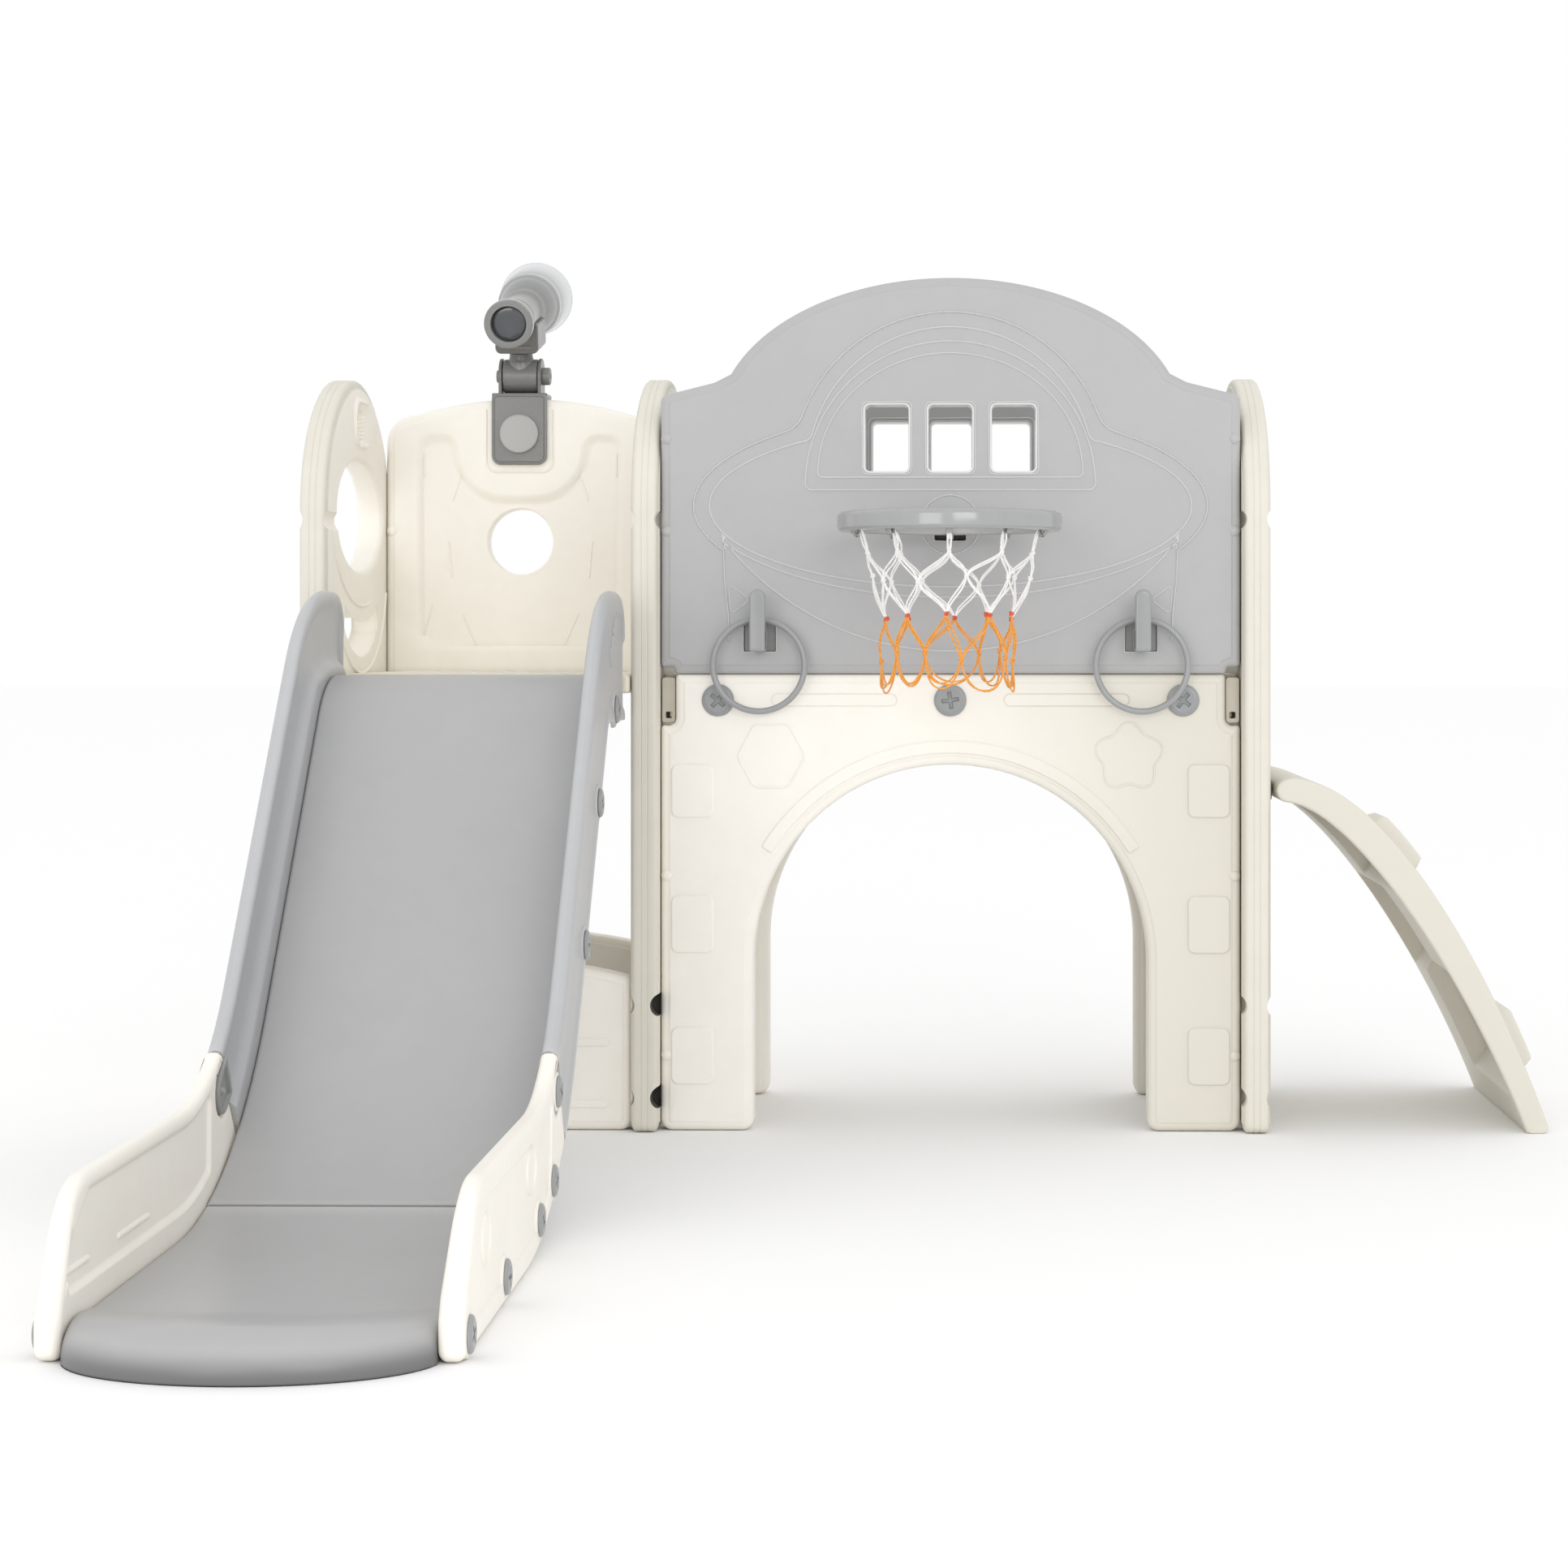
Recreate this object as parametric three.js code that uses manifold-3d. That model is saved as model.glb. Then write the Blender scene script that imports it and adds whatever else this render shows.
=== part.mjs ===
// A plastic playhouse: tower with slide and telescope, bridge over a crawl arch, and a climber.
// Millimetres, +Z up. X runs along the front, Y runs from the front face of the arch to the rear.

import * as THREE from "three";
import { mergeVertices } from "three/addons/utils/BufferGeometryUtils.js";
import Module from "manifold-3d";

const wasm = await Module();
wasm.setup();

// ---- driving dimensions ----
const GAP = 0.3;
const BEYOND = 5; // how far a cutting solid runs past the face it cuts
const DECK_Z = 580;
const DECK_THICKNESS = 24;

const SIDE = { thickness: 36, front: -20, rear: 430, top: 970, topRadius: 260, cornerRadius: 167 };
const SIDE_X = { left: -808, centre: -387, right: 387 };
const FOOT_RADIUS = 12;
const PANEL = { halfWidth: 368, thickness: 45, frontY: 0, rearY: 320 };
const DOORWAY = { width: 258, springZ: 790, sillZ: 600 };
const OVAL_WINDOW = { y: 212, z: 789, halfWidth: 158, halfHeight: 73 };
const HAND_SLOT = { y: 210, z: 912, halfWidth: 33, halfHeight: 32 };
const LOW_OVAL = { y: 212, z: 628, halfWidth: 132, halfHeight: 33 };

const ARCH = { radius: 250, centreZ: 215, notchWidth: 19, notchDepth: 65 };
const UPPER = { cornerZ: 934, shoulderX: 300, shoulderZ: 951, domeA: 296, domeB: 184, domeZ: 900, joinZ: 962 };
const WINDOW = { width: 55, bottom: 838, top: 922, pitch: 80.5 };
const SCREW = { headRadius: 20.5, headHeight: 4, shankRadius: 6, shortBy: 4, overlap: 1, z: 547, spacing: 295 };

const TOWER_X = (SIDE_X.left + SIDE_X.centre) / 2;
const TOWER_HALF = (SIDE_X.centre - SIDE_X.left - SIDE.thickness) / 2;
const LOW_PANEL = { thickness: 40, frontY: 0, rearY: 386, edgeZ: 195, middleZ: 220 };
const SCOPE_PANEL = { thickness: 40, frontY: 390, top: 961, edgeTop: 938, corner: 40 };
const SCOPE_HOLE = { x: -5, radius: 45.6, z: 761 };

const HOOP = { radius: 137, width: 18, bottom: 755, top: 779, y: -170 };
const NET = { topRadius: 116, waistZ: 652, waistRadius: 82, bottom: 560, bottomRadius: 78, wall: 3 };
const HOOP_SOCKET = { width: 40, bottom: 750, top: 765 };
const HOOK = { x: 242, socket: 40, bottom: 609, top: 648, width: 20, reach: 52, armRise: 26 };
const HOOK_TIP = { top: 687, depth: 16 };
const RING = { outer: 62, tube: 4, y: -19 };

const SLIDE = {
  x: TOWER_X,
  bedHalf: 162.5,
  outerHalf: 187,
  thickness: 16,
  angle: THREE.MathUtils.degToRad(48.7),
  platformEnd: -120,
  topRadius: 132,
  runoutZ: 30,
  bottomRadius: 530,
  railRise: 104,
  wallTopZ: 146,
  wallTopRadius: 300,
  front: -1296,
  lipFront: -1380,
  lipHeight: 36,
  lipOverlap: 40,
  bedSeam: -781,
};
const BOLT = { headRadius: 17, headHeight: 4, shankRadius: 5 };

const CLIMBER = { x: 411.5, topZ: 449, footX: 757, width: 420, frontY: -5 };

const SCOPE_TILT = THREE.MathUtils.degToRad(13);
const SCOPE = { x: TOWER_X + SCOPE_HOLE.x, y: 410, pinZ: 993, barrelRadius: 22, barrelWidth: 48, tilt: SCOPE_TILT };

// ---- materials ----
function plastic(color, roughness = 0.45) {
  return new THREE.MeshStandardMaterial({ color, roughness, metalness: 0 });
}

const IVORY = 0xeee9dd;
const LIGHT_GRAY = 0xbcbcbc;
const DARK_GRAY = 0x969694;
const ACCESSORY_GRAY = 0x969899;
const SCREW_GRAY = 0xb4b6b8;
const NET_WHITE = 0xf2efe8;
const LENS = 0x4a4c4e;

// ---- solids ----
function toSolid(geometry) {
  const bare = geometry.index ? geometry.toNonIndexed() : geometry.clone();
  bare.deleteAttribute("normal");
  bare.deleteAttribute("uv");
  const merged = mergeVertices(bare, 1e-3);
  return new wasm.Manifold(
    new wasm.Mesh({
      numProp: 3,
      vertProperties: merged.attributes.position.array,
      triVerts: new Uint32Array(merged.index.array),
    }),
  );
}

function toGeometry(solid) {
  const mesh = solid.getMesh();
  const geometry = new THREE.BufferGeometry();
  geometry.setAttribute("position", new THREE.BufferAttribute(mesh.vertProperties, 3));
  geometry.setIndex(new THREE.BufferAttribute(mesh.triVerts, 1));
  return geometry.toNonIndexed();
}

function joined(...geometries) {
  return toGeometry(geometries.map(toSolid).reduce((sum, next) => sum.add(next)));
}

function cut(geometry, ...tools) {
  return toGeometry(tools.map(toSolid).reduce((rest, tool) => rest.subtract(tool), toSolid(geometry)));
}

function box(x0, x1, y0, y1, z0, z1) {
  const geometry = new THREE.BoxGeometry(x1 - x0, y1 - y0, z1 - z0);
  return geometry.translate((x0 + x1) / 2, (y0 + y1) / 2, (z0 + z1) / 2);
}

// A cylinder along Y, or along X when alongX is set, between two ends.
function rod(radius, x, y, z, length, alongX = false, sides = 16) {
  const geometry = new THREE.CylinderGeometry(radius, radius, length, sides);
  if (alongX) geometry.rotateZ(Math.PI / 2);
  return geometry.translate(x, y, z);
}

function extruded(shape, depth, curveSegments = 6) {
  return new THREE.ExtrudeGeometry(shape, { depth, bevelEnabled: false, curveSegments });
}

// A shape drawn in X and Z becomes a plate with its front face at frontY.
function frontPlate(shape, frontY, thickness, curveSegments) {
  const geometry = extruded(shape, thickness, curveSegments);
  return geometry.rotateX(Math.PI / 2).translate(0, frontY + thickness, 0);
}

// A shape drawn in Y and Z becomes a plate centred on x.
function sidePlate(shape, x, thickness, curveSegments) {
  const geometry = extruded(shape, thickness, curveSegments);
  return geometry.rotateY(Math.PI / 2).rotateX(Math.PI / 2).translate(x - thickness / 2, 0, 0);
}

function ellipseHole(x, y, halfWidth, halfHeight, sides) {
  const path = new THREE.Path();
  const corners = Array.from({ length: sides }, (_, i) => (2 * Math.PI * i) / sides);
  path.setFromPoints(
    corners.map((turn) => new THREE.Vector2(x + halfWidth * Math.cos(turn), y + halfHeight * Math.sin(turn))),
  );
  return path;
}

function circleHole(x, y, radius, sides = 12) {
  return ellipseHole(x, y, radius, radius, sides);
}

const assembly = new THREE.Group();

function addMesh(parent, name, geometry, material, position = [0, 0, 0]) {
  const mesh = new THREE.Mesh(geometry, material);
  mesh.name = name;
  mesh.position.set(...position);
  parent.add(mesh);
  return mesh;
}

// ---- side panels ----
function sideOutline() {
  const middle = (SIDE.front + SIDE.rear) / 2;
  const half = (SIDE.rear - SIDE.front) / 2;
  const inset = half - SIDE.cornerRadius;
  const arcCentre = SIDE.top - SIDE.topRadius;
  const cornerZ = arcCentre + Math.sqrt((SIDE.topRadius - SIDE.cornerRadius) ** 2 - inset ** 2);
  const turn = Math.asin(inset / (SIDE.topRadius - SIDE.cornerRadius));
  const up = Math.PI / 2;
  const shape = new THREE.Shape();
  shape.absarc(SIDE.front + FOOT_RADIUS, FOOT_RADIUS, FOOT_RADIUS, Math.PI, 1.5 * Math.PI);
  shape.absarc(SIDE.rear - FOOT_RADIUS, FOOT_RADIUS, FOOT_RADIUS, 1.5 * Math.PI, 2 * Math.PI);
  shape.absarc(middle + inset, cornerZ, SIDE.cornerRadius, 0, up - turn);
  shape.absarc(middle, arcCentre, SIDE.topRadius, up - turn, up + turn);
  shape.absarc(middle - inset, cornerZ, SIDE.cornerRadius, up + turn, Math.PI);
  shape.closePath();
  return shape;
}

function oval({ y, z, halfWidth, halfHeight }) {
  return ellipseHole(y, z, halfWidth, halfHeight, 24);
}

// The doorway lies between the front and rear panels that close the bridge.
function doorway() {
  const middle = (PANEL.frontY + PANEL.thickness + PANEL.rearY) / 2;
  const radius = DOORWAY.width / 2;
  const path = new THREE.Path();
  path.moveTo(middle - radius, DOORWAY.sillZ);
  path.lineTo(middle + radius, DOORWAY.sillZ);
  path.absarc(middle, DOORWAY.springZ, radius, 0, Math.PI);
  path.closePath();
  return path;
}

function addSidePanel(name, x, openings) {
  const shape = sideOutline();
  shape.holes.push(...openings);
  addMesh(assembly, name, sidePlate(shape, 0, SIDE.thickness, 5), plastic(IVORY), [x, 0, 0]);
}

addSidePanel("left_side_panel", SIDE_X.left, [oval(OVAL_WINDOW), oval(HAND_SLOT), oval(LOW_OVAL)]);
addSidePanel("centre_side_panel", SIDE_X.centre, [doorway()]);
addSidePanel("right_side_panel", SIDE_X.right, [doorway()]);

// ---- bridge: arches, upper panels, deck ----
const BAY_HALF = PANEL.halfWidth;
const SCREW_X = [-SCREW.spacing, 0, SCREW.spacing];

function archOutline() {
  const shape = new THREE.Shape();
  const notchX = BAY_HALF - ARCH.notchWidth;
  const notchZ = DECK_Z - ARCH.notchDepth;
  const foot = FOOT_RADIUS;
  shape.moveTo(-ARCH.radius, 0);
  shape.lineTo(-ARCH.radius, ARCH.centreZ);
  shape.absarc(0, ARCH.centreZ, ARCH.radius, Math.PI, 0, true);
  shape.lineTo(ARCH.radius, 0);
  shape.absarc(BAY_HALF - foot, foot, foot, 1.5 * Math.PI, 2 * Math.PI);
  shape.lineTo(BAY_HALF, notchZ);
  shape.lineTo(notchX, notchZ);
  shape.lineTo(notchX, DECK_Z);
  shape.lineTo(-notchX, DECK_Z);
  shape.lineTo(-notchX, notchZ);
  shape.lineTo(-BAY_HALF, notchZ);
  shape.absarc(-BAY_HALF + foot, foot, foot, Math.PI, 1.5 * Math.PI);
  shape.closePath();
  for (const x of SCREW_X) shape.holes.push(circleHole(x, SCREW.z, SCREW.shankRadius + GAP));
  return shape;
}

function upperPanel(frontY, withSockets) {
  const bottom = DECK_Z + GAP;
  const joinAngle = Math.asin((UPPER.joinZ - UPPER.domeZ) / UPPER.domeB);
  const joinX = UPPER.domeA * Math.cos(joinAngle);
  const shape = new THREE.Shape();
  shape.moveTo(-BAY_HALF, bottom);
  shape.lineTo(BAY_HALF, bottom);
  shape.lineTo(BAY_HALF, UPPER.cornerZ);
  shape.lineTo(UPPER.shoulderX, UPPER.shoulderZ);
  shape.lineTo(joinX, UPPER.joinZ);
  shape.absellipse(0, UPPER.domeZ, UPPER.domeA, UPPER.domeB, joinAngle, Math.PI - joinAngle);
  shape.lineTo(-UPPER.shoulderX, UPPER.shoulderZ);
  shape.lineTo(-BAY_HALF, UPPER.cornerZ);
  shape.closePath();
  const opening = (x, halfWidth, z0, z1) => {
    return box(x - halfWidth, x + halfWidth, frontY - BEYOND, frontY + PANEL.thickness + BEYOND, z0, z1);
  };
  const openings = [-1, 0, 1].map((column) => {
    return opening(column * WINDOW.pitch, WINDOW.width / 2, WINDOW.bottom, WINDOW.top);
  });
  if (withSockets) {
    openings.push(opening(0, HOOP_SOCKET.width / 2 + GAP, HOOP_SOCKET.bottom - GAP, HOOP_SOCKET.top + GAP));
    for (const side of [-1, 1]) {
      openings.push(opening(side * HOOK.x, HOOK.socket / 2 + GAP, HOOK.bottom - GAP, HOOK.top + GAP));
    }
  }
  return cut(frontPlate(shape, frontY, PANEL.thickness, 8), ...openings);
}

function addScrew(name, x, frontFaceY, outward) {
  const head = rod(SCREW.headRadius, 0, outward * (SCREW.headHeight / 2), 0, SCREW.headHeight, false, 20);
  const shankLength = PANEL.thickness - SCREW.shortBy;
  const shankY = -outward * (shankLength / 2 - SCREW.overlap);
  const shank = rod(SCREW.shankRadius, 0, shankY, 0, shankLength, false, 12);
  const place = [x, frontFaceY + outward * GAP, SCREW.z];
  addMesh(assembly, name, joined(head, shank), plastic(SCREW_GRAY, 0.35), place);
}

const screwPlaces = ["left", "middle", "right"];
for (const [which, frontY, outward] of [["front", PANEL.frontY, -1], ["rear", PANEL.rearY, 1]]) {
  const arch = frontPlate(archOutline(), frontY, PANEL.thickness, 8);
  addMesh(assembly, `${which}_arch_panel`, arch, plastic(IVORY));
  const upper = upperPanel(frontY, which === "front");
  addMesh(assembly, `${which}_upper_panel`, upper, plastic(LIGHT_GRAY));
  const faceY = outward < 0 ? frontY : frontY + PANEL.thickness;
  SCREW_X.forEach((x, i) => addScrew(`${which}_arch_screw_${screwPlaces[i]}`, x, faceY, outward));
}

// Lugs at the deck's corners fill the notches of the arch panels.
const LUG = { inset: 6, length: 30, clearance: 3 };

function bridgeDeck() {
  const halfX = BAY_HALF - GAP;
  const y0 = PANEL.frontY + PANEL.thickness + GAP;
  const y1 = PANEL.rearY - GAP;
  const bottom = DECK_Z - DECK_THICKNESS;
  const lugInner = BAY_HALF - ARCH.notchWidth + GAP;
  const lugBottom = DECK_Z - ARCH.notchDepth + LUG.clearance;
  const lugTop = DECK_Z - LUG.clearance;
  const pieces = [box(-halfX, halfX, y0, y1, bottom, DECK_Z)];
  for (const side of [-1, 1]) {
    const x0 = Math.min(side * lugInner, side * halfX);
    const x1 = Math.max(side * lugInner, side * halfX);
    pieces.push(box(x0, x1, PANEL.frontY + LUG.inset, y0 + LUG.length, lugBottom, lugTop));
    pieces.push(box(x0, x1, y1 - LUG.length, PANEL.rearY + PANEL.thickness - LUG.inset, lugBottom, lugTop));
  }
  return joined(...pieces);
}

addMesh(assembly, "bridge_deck", bridgeDeck(), plastic(IVORY, 0.6));

// ---- tower: deck, low panels, telescope panel ----
const TOWER_INNER = TOWER_HALF - GAP;

function towerDeck() {
  const y0 = SIDE.front + GAP;
  const y1 = SCOPE_PANEL.frontY - GAP;
  return box(-TOWER_INNER, TOWER_INNER, y0, y1, DECK_Z - DECK_THICKNESS, DECK_Z);
}

addMesh(assembly, "tower_deck", towerDeck(), plastic(IVORY, 0.6), [TOWER_X, 0, 0]);

function lowPanelOutline() {
  const shape = new THREE.Shape();
  const foot = FOOT_RADIUS;
  shape.absarc(-TOWER_INNER + foot, foot, foot, Math.PI, 1.5 * Math.PI);
  shape.absarc(TOWER_INNER - foot, foot, foot, 1.5 * Math.PI, 2 * Math.PI);
  shape.lineTo(TOWER_INNER, LOW_PANEL.edgeZ);
  const controlZ = 2 * LOW_PANEL.middleZ - LOW_PANEL.edgeZ;
  shape.quadraticCurveTo(0, controlZ, -TOWER_INNER, LOW_PANEL.edgeZ);
  shape.closePath();
  return shape;
}

for (const [which, frontY] of [["front", LOW_PANEL.frontY], ["rear", LOW_PANEL.rearY]]) {
  const plate = frontPlate(lowPanelOutline(), frontY, LOW_PANEL.thickness, 5);
  addMesh(assembly, `tower_${which}_low_panel`, plate, plastic(IVORY), [TOWER_X, 0, 0]);
}

function telescopePanelOutline() {
  const shape = new THREE.Shape();
  const corner = SCOPE_PANEL.corner;
  const bottom = DECK_Z - DECK_THICKNESS;
  shape.moveTo(-TOWER_INNER, bottom);
  shape.lineTo(TOWER_INNER, bottom);
  shape.absarc(TOWER_INNER - corner, SCOPE_PANEL.edgeTop - corner, corner, 0, Math.PI / 2);
  const controlZ = 2 * SCOPE_PANEL.top - SCOPE_PANEL.edgeTop;
  shape.quadraticCurveTo(0, controlZ, -TOWER_INNER + corner, SCOPE_PANEL.edgeTop);
  shape.absarc(-TOWER_INNER + corner, SCOPE_PANEL.edgeTop - corner, corner, Math.PI / 2, Math.PI);
  shape.closePath();
  shape.holes.push(circleHole(SCOPE_HOLE.x, SCOPE_HOLE.z, SCOPE_HOLE.radius, 24));
  return shape;
}

const telescopePanel = frontPlate(telescopePanelOutline(), SCOPE_PANEL.frontY, SCOPE_PANEL.thickness, 7);
addMesh(assembly, "telescope_panel", telescopePanel, plastic(IVORY), [TOWER_X, 0, 0]);

// ---- telescope ----
const PLATE = { halfWidth: 38.5, bottom: 868, thickness: 6, capRadius: 27, capZ: 911, capHeight: 5 };
const CLEVIS = { outerHalf: 29.5, cheek: 4.5, cheekRadius: 22, eyeWall: 3, pinRadius: 7 };
const CLEVIS_FLOOR = { top: 968, rear: 24 };
const PIN = { overhang: 4, bigHead: { radius: 12.3, width: 11 }, smallHead: { radius: 9, width: 5 } };

function cheekOutline() {
  const shape = new THREE.Shape();
  shape.moveTo(-CLEVIS.cheekRadius, SCOPE_PANEL.top + GAP);
  shape.lineTo(CLEVIS.cheekRadius, SCOPE_PANEL.top + GAP);
  shape.absarc(0, SCOPE.pinZ, CLEVIS.cheekRadius + CLEVIS.eyeWall, 0, Math.PI);
  shape.closePath();
  shape.holes.push(circleHole(0, SCOPE.pinZ, CLEVIS.pinRadius + GAP));
  return shape;
}

function bracketGeometry() {
  const front = SCOPE_PANEL.frontY - GAP - SCOPE.y;
  const top = CLEVIS_FLOOR.top;
  const plate = box(-PLATE.halfWidth, PLATE.halfWidth, front - PLATE.thickness, front, PLATE.bottom, top);
  const bottom = SCOPE_PANEL.top + GAP;
  const floorFront = front - PLATE.thickness / 2;
  const floor = box(-PLATE.halfWidth, PLATE.halfWidth, floorFront, CLEVIS_FLOOR.rear, bottom, top);
  const cheekX = CLEVIS.outerHalf - CLEVIS.cheek / 2;
  const cheeks = [-cheekX, cheekX].map((x) => sidePlate(cheekOutline(), x, CLEVIS.cheek, 6));
  return joined(plate, floor, ...cheeks);
}

addMesh(assembly, "telescope_bracket", bracketGeometry(), plastic(DARK_GRAY), [SCOPE.x, SCOPE.y, 0]);

const plateFaceY = SCOPE_PANEL.frontY - GAP - PLATE.thickness;
const capY = plateFaceY - GAP - PLATE.capHeight / 2;
const cap = rod(PLATE.capRadius, 0, 0, 0, PLATE.capHeight, false, 32);
addMesh(assembly, "bracket_cap", cap, plastic(DARK_GRAY), [SCOPE.x, capY, PLATE.capZ]);

function pinGeometry() {
  const shaft = rod(CLEVIS.pinRadius, 0, 0, 0, 2 * (CLEVIS.outerHalf + PIN.overhang), true, 16);
  const heads = [[1, PIN.bigHead], [-1, PIN.smallHead]].map(([side, { radius, width }]) => {
    return rod(radius, side * (CLEVIS.outerHalf + GAP + width / 2), 0, 0, width, true, 20);
  });
  return joined(shaft, ...heads);
}

addMesh(assembly, "clevis_pin", pinGeometry(), plastic(DARK_GRAY), [SCOPE.x, SCOPE.y, SCOPE.pinZ]);

// The barrel tilts on the pin; the saddle and tube pan on the barrel's neck.
const tilting = new THREE.Group();
tilting.position.set(SCOPE.x, SCOPE.y, SCOPE.pinZ);
tilting.rotation.x = SCOPE.tilt;
assembly.add(tilting);
const panning = new THREE.Group();
tilting.add(panning);

const NECK = { radius: 16, rootRadius: 20, bottom: 10, top: 37 };
const SADDLE = { halfWidth: 30, halfLength: 42, bottom: NECK.top + GAP, cheekTop: 78, tubeRadius: 27 };
const TUBE_AXIS = 88;

function swivelGeometry() {
  const barrel = rod(SCOPE.barrelRadius, 0, 0, 0, SCOPE.barrelWidth, true, 24);
  const neck = new THREE.CylinderGeometry(NECK.radius, NECK.rootRadius, NECK.top - NECK.bottom, 20);
  neck.rotateX(Math.PI / 2).translate(0, 0, (NECK.top + NECK.bottom) / 2);
  const bore = rod(CLEVIS.pinRadius + GAP, 0, 0, 0, SCOPE.barrelWidth + BEYOND, true, 16);
  return cut(joined(barrel, neck), bore);
}

addMesh(tilting, "swivel_base", swivelGeometry(), plastic(DARK_GRAY));

function saddleGeometry() {
  const { halfWidth, halfLength, bottom, cheekTop, tubeRadius } = SADDLE;
  const block = box(-halfWidth, halfWidth, -halfLength, halfLength, bottom, cheekTop);
  const trough = rod(tubeRadius + GAP, 0, 0, TUBE_AXIS, 2 * halfLength + BEYOND, false, 32);
  return cut(block, trough);
}

addMesh(panning, "telescope_saddle", saddleGeometry(), plastic(DARK_GRAY));

// The tube's wall in radius and distance along the axis, from the eyepiece out and back inside.
const TUBE = { eyeEnd: -115, objectiveEnd: 183, eyeBore: 24, objectiveBore: 46 };
const LENSES = { thickness: 3, eyeY: -104, objectiveY: 172, objectiveRadius: 43.5 };

function tubeGeometry() {
  const { eyeEnd, objectiveEnd, eyeBore, objectiveBore } = TUBE;
  const outline = [
    [eyeBore, eyeEnd],
    [33.5, eyeEnd],
    [33.5, -94],
    [SADDLE.tubeRadius - 1, -78],
    [SADDLE.tubeRadius, -50],
    [SADDLE.tubeRadius, 50],
    [29, 56],
    [40, 84],
    [44, 104],
    [44, 112],
    [47, 118],
    [52, objectiveEnd],
    [objectiveBore, objectiveEnd],
    [40, 110],
    [25, 56],
    [22, 46],
    [22, -90],
    [eyeBore, -94],
  ].map(([radius, along]) => new THREE.Vector2(radius, along));
  outline.push(outline[0].clone());
  return new THREE.LatheGeometry(outline, 32);
}

addMesh(panning, "telescope_tube", tubeGeometry(), plastic(DARK_GRAY, 0.35), [0, 0, TUBE_AXIS]);

const eyepieceLens = rod(TUBE.eyeBore - GAP, 0, LENSES.eyeY, 0, LENSES.thickness, false, 32);
addMesh(panning, "eyepiece_lens", eyepieceLens, plastic(LENS, 0.1), [0, 0, TUBE_AXIS]);
const objectiveLens = rod(LENSES.objectiveRadius, 0, LENSES.objectiveY, 0, LENSES.thickness, false, 32);
addMesh(panning, "objective_lens", objectiveLens, plastic(LENS, 0.1), [0, 0, TUBE_AXIS]);

// ---- hoop ----
const FLANGE = { thickness: 6, side: 5, above: 6, below: 4 };
const PLUG_OUT = 4; // how far a plug passes the rear of its panel

function hoopBracket() {
  const ringBack = HOOP.y + HOOP.radius + GAP;
  const { bottom, top } = HOOP_SOCKET;
  const half = HOOP_SOCKET.width / 2;
  const flangeHalf = half + FLANGE.side;
  const plug = box(-half, half, -FLANGE.thickness / 2, PANEL.thickness + PLUG_OUT, bottom, top);
  const flangeBottom = bottom - FLANGE.below;
  const flange = box(-flangeHalf, flangeHalf, -FLANGE.thickness, -GAP, flangeBottom, HOOP.top + FLANGE.above);
  const arm = box(-half, half, ringBack, -FLANGE.thickness / 2, bottom + BEYOND, HOOP.top);
  return joined(plug, flange, arm);
}

addMesh(assembly, "hoop_bracket", hoopBracket(), plastic(ACCESSORY_GRAY));

function ringProfile() {
  const inner = HOOP.radius - HOOP.width;
  const bevel = 4;
  const height = HOOP.top - HOOP.bottom;
  const points = [
    [inner, bevel],
    [inner + bevel, 0],
    [HOOP.radius - bevel, 0],
    [HOOP.radius, bevel],
    [HOOP.radius, height - bevel],
    [HOOP.radius - bevel, height],
    [inner + bevel, height],
    [inner, height - bevel],
    [inner, bevel],
  ];
  return points.map(([radius, z]) => new THREE.Vector2(radius, z));
}

const hoopRing = new THREE.LatheGeometry(ringProfile(), 40).rotateX(Math.PI / 2);
addMesh(assembly, "hoop_ring", hoopRing, plastic(ACCESSORY_GRAY, 0.25), [0, HOOP.y, HOOP.bottom]);

function netGeometry() {
  const top = HOOP.bottom - GAP;
  const { topRadius, waistZ, waistRadius, bottom, bottomRadius, wall } = NET;
  const outline = [
    [topRadius, top],
    [waistRadius, waistZ],
    [bottomRadius, bottom],
    [bottomRadius - wall, bottom],
    [waistRadius - wall, waistZ],
    [topRadius - wall, top],
    [topRadius, top],
  ].map(([radius, z]) => new THREE.Vector2(radius, z));
  return new THREE.LatheGeometry(outline.reverse(), 24).rotateX(Math.PI / 2);
}

addMesh(assembly, "hoop_net", netGeometry(), plastic(NET_WHITE, 0.9), [0, HOOP.y, 0]);

// ---- ring hooks and toss rings ----
const ARM_Z = HOOK.bottom + HOOK.armRise;

function hookGeometry() {
  const half = HOOK.socket / 2;
  const bar = HOOK.width / 2;
  const root = -1;
  const armMiddle = (root - HOOK.reach) / 2;
  const plug = box(-half, half, 2 * root, PANEL.thickness + PLUG_OUT / 2, HOOK.bottom, HOOK.top);
  const lowerArm = box(-bar, bar, -HOOK.reach, root, HOOK.bottom, ARM_Z);
  const roundTop = rod(bar, 0, armMiddle, ARM_Z, HOOK.reach + root, false, 24);
  const tip = box(-bar, bar, -HOOK.reach, -HOOK.reach + HOOK_TIP.depth, HOOK.bottom, HOOK_TIP.top - bar);
  const tipRound = rod(bar, 0, -HOOK.reach + HOOK_TIP.depth / 2, HOOK_TIP.top - bar, HOOK_TIP.depth, false, 24);
  return joined(plug, lowerArm, roundTop, tip, tipRound);
}

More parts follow.
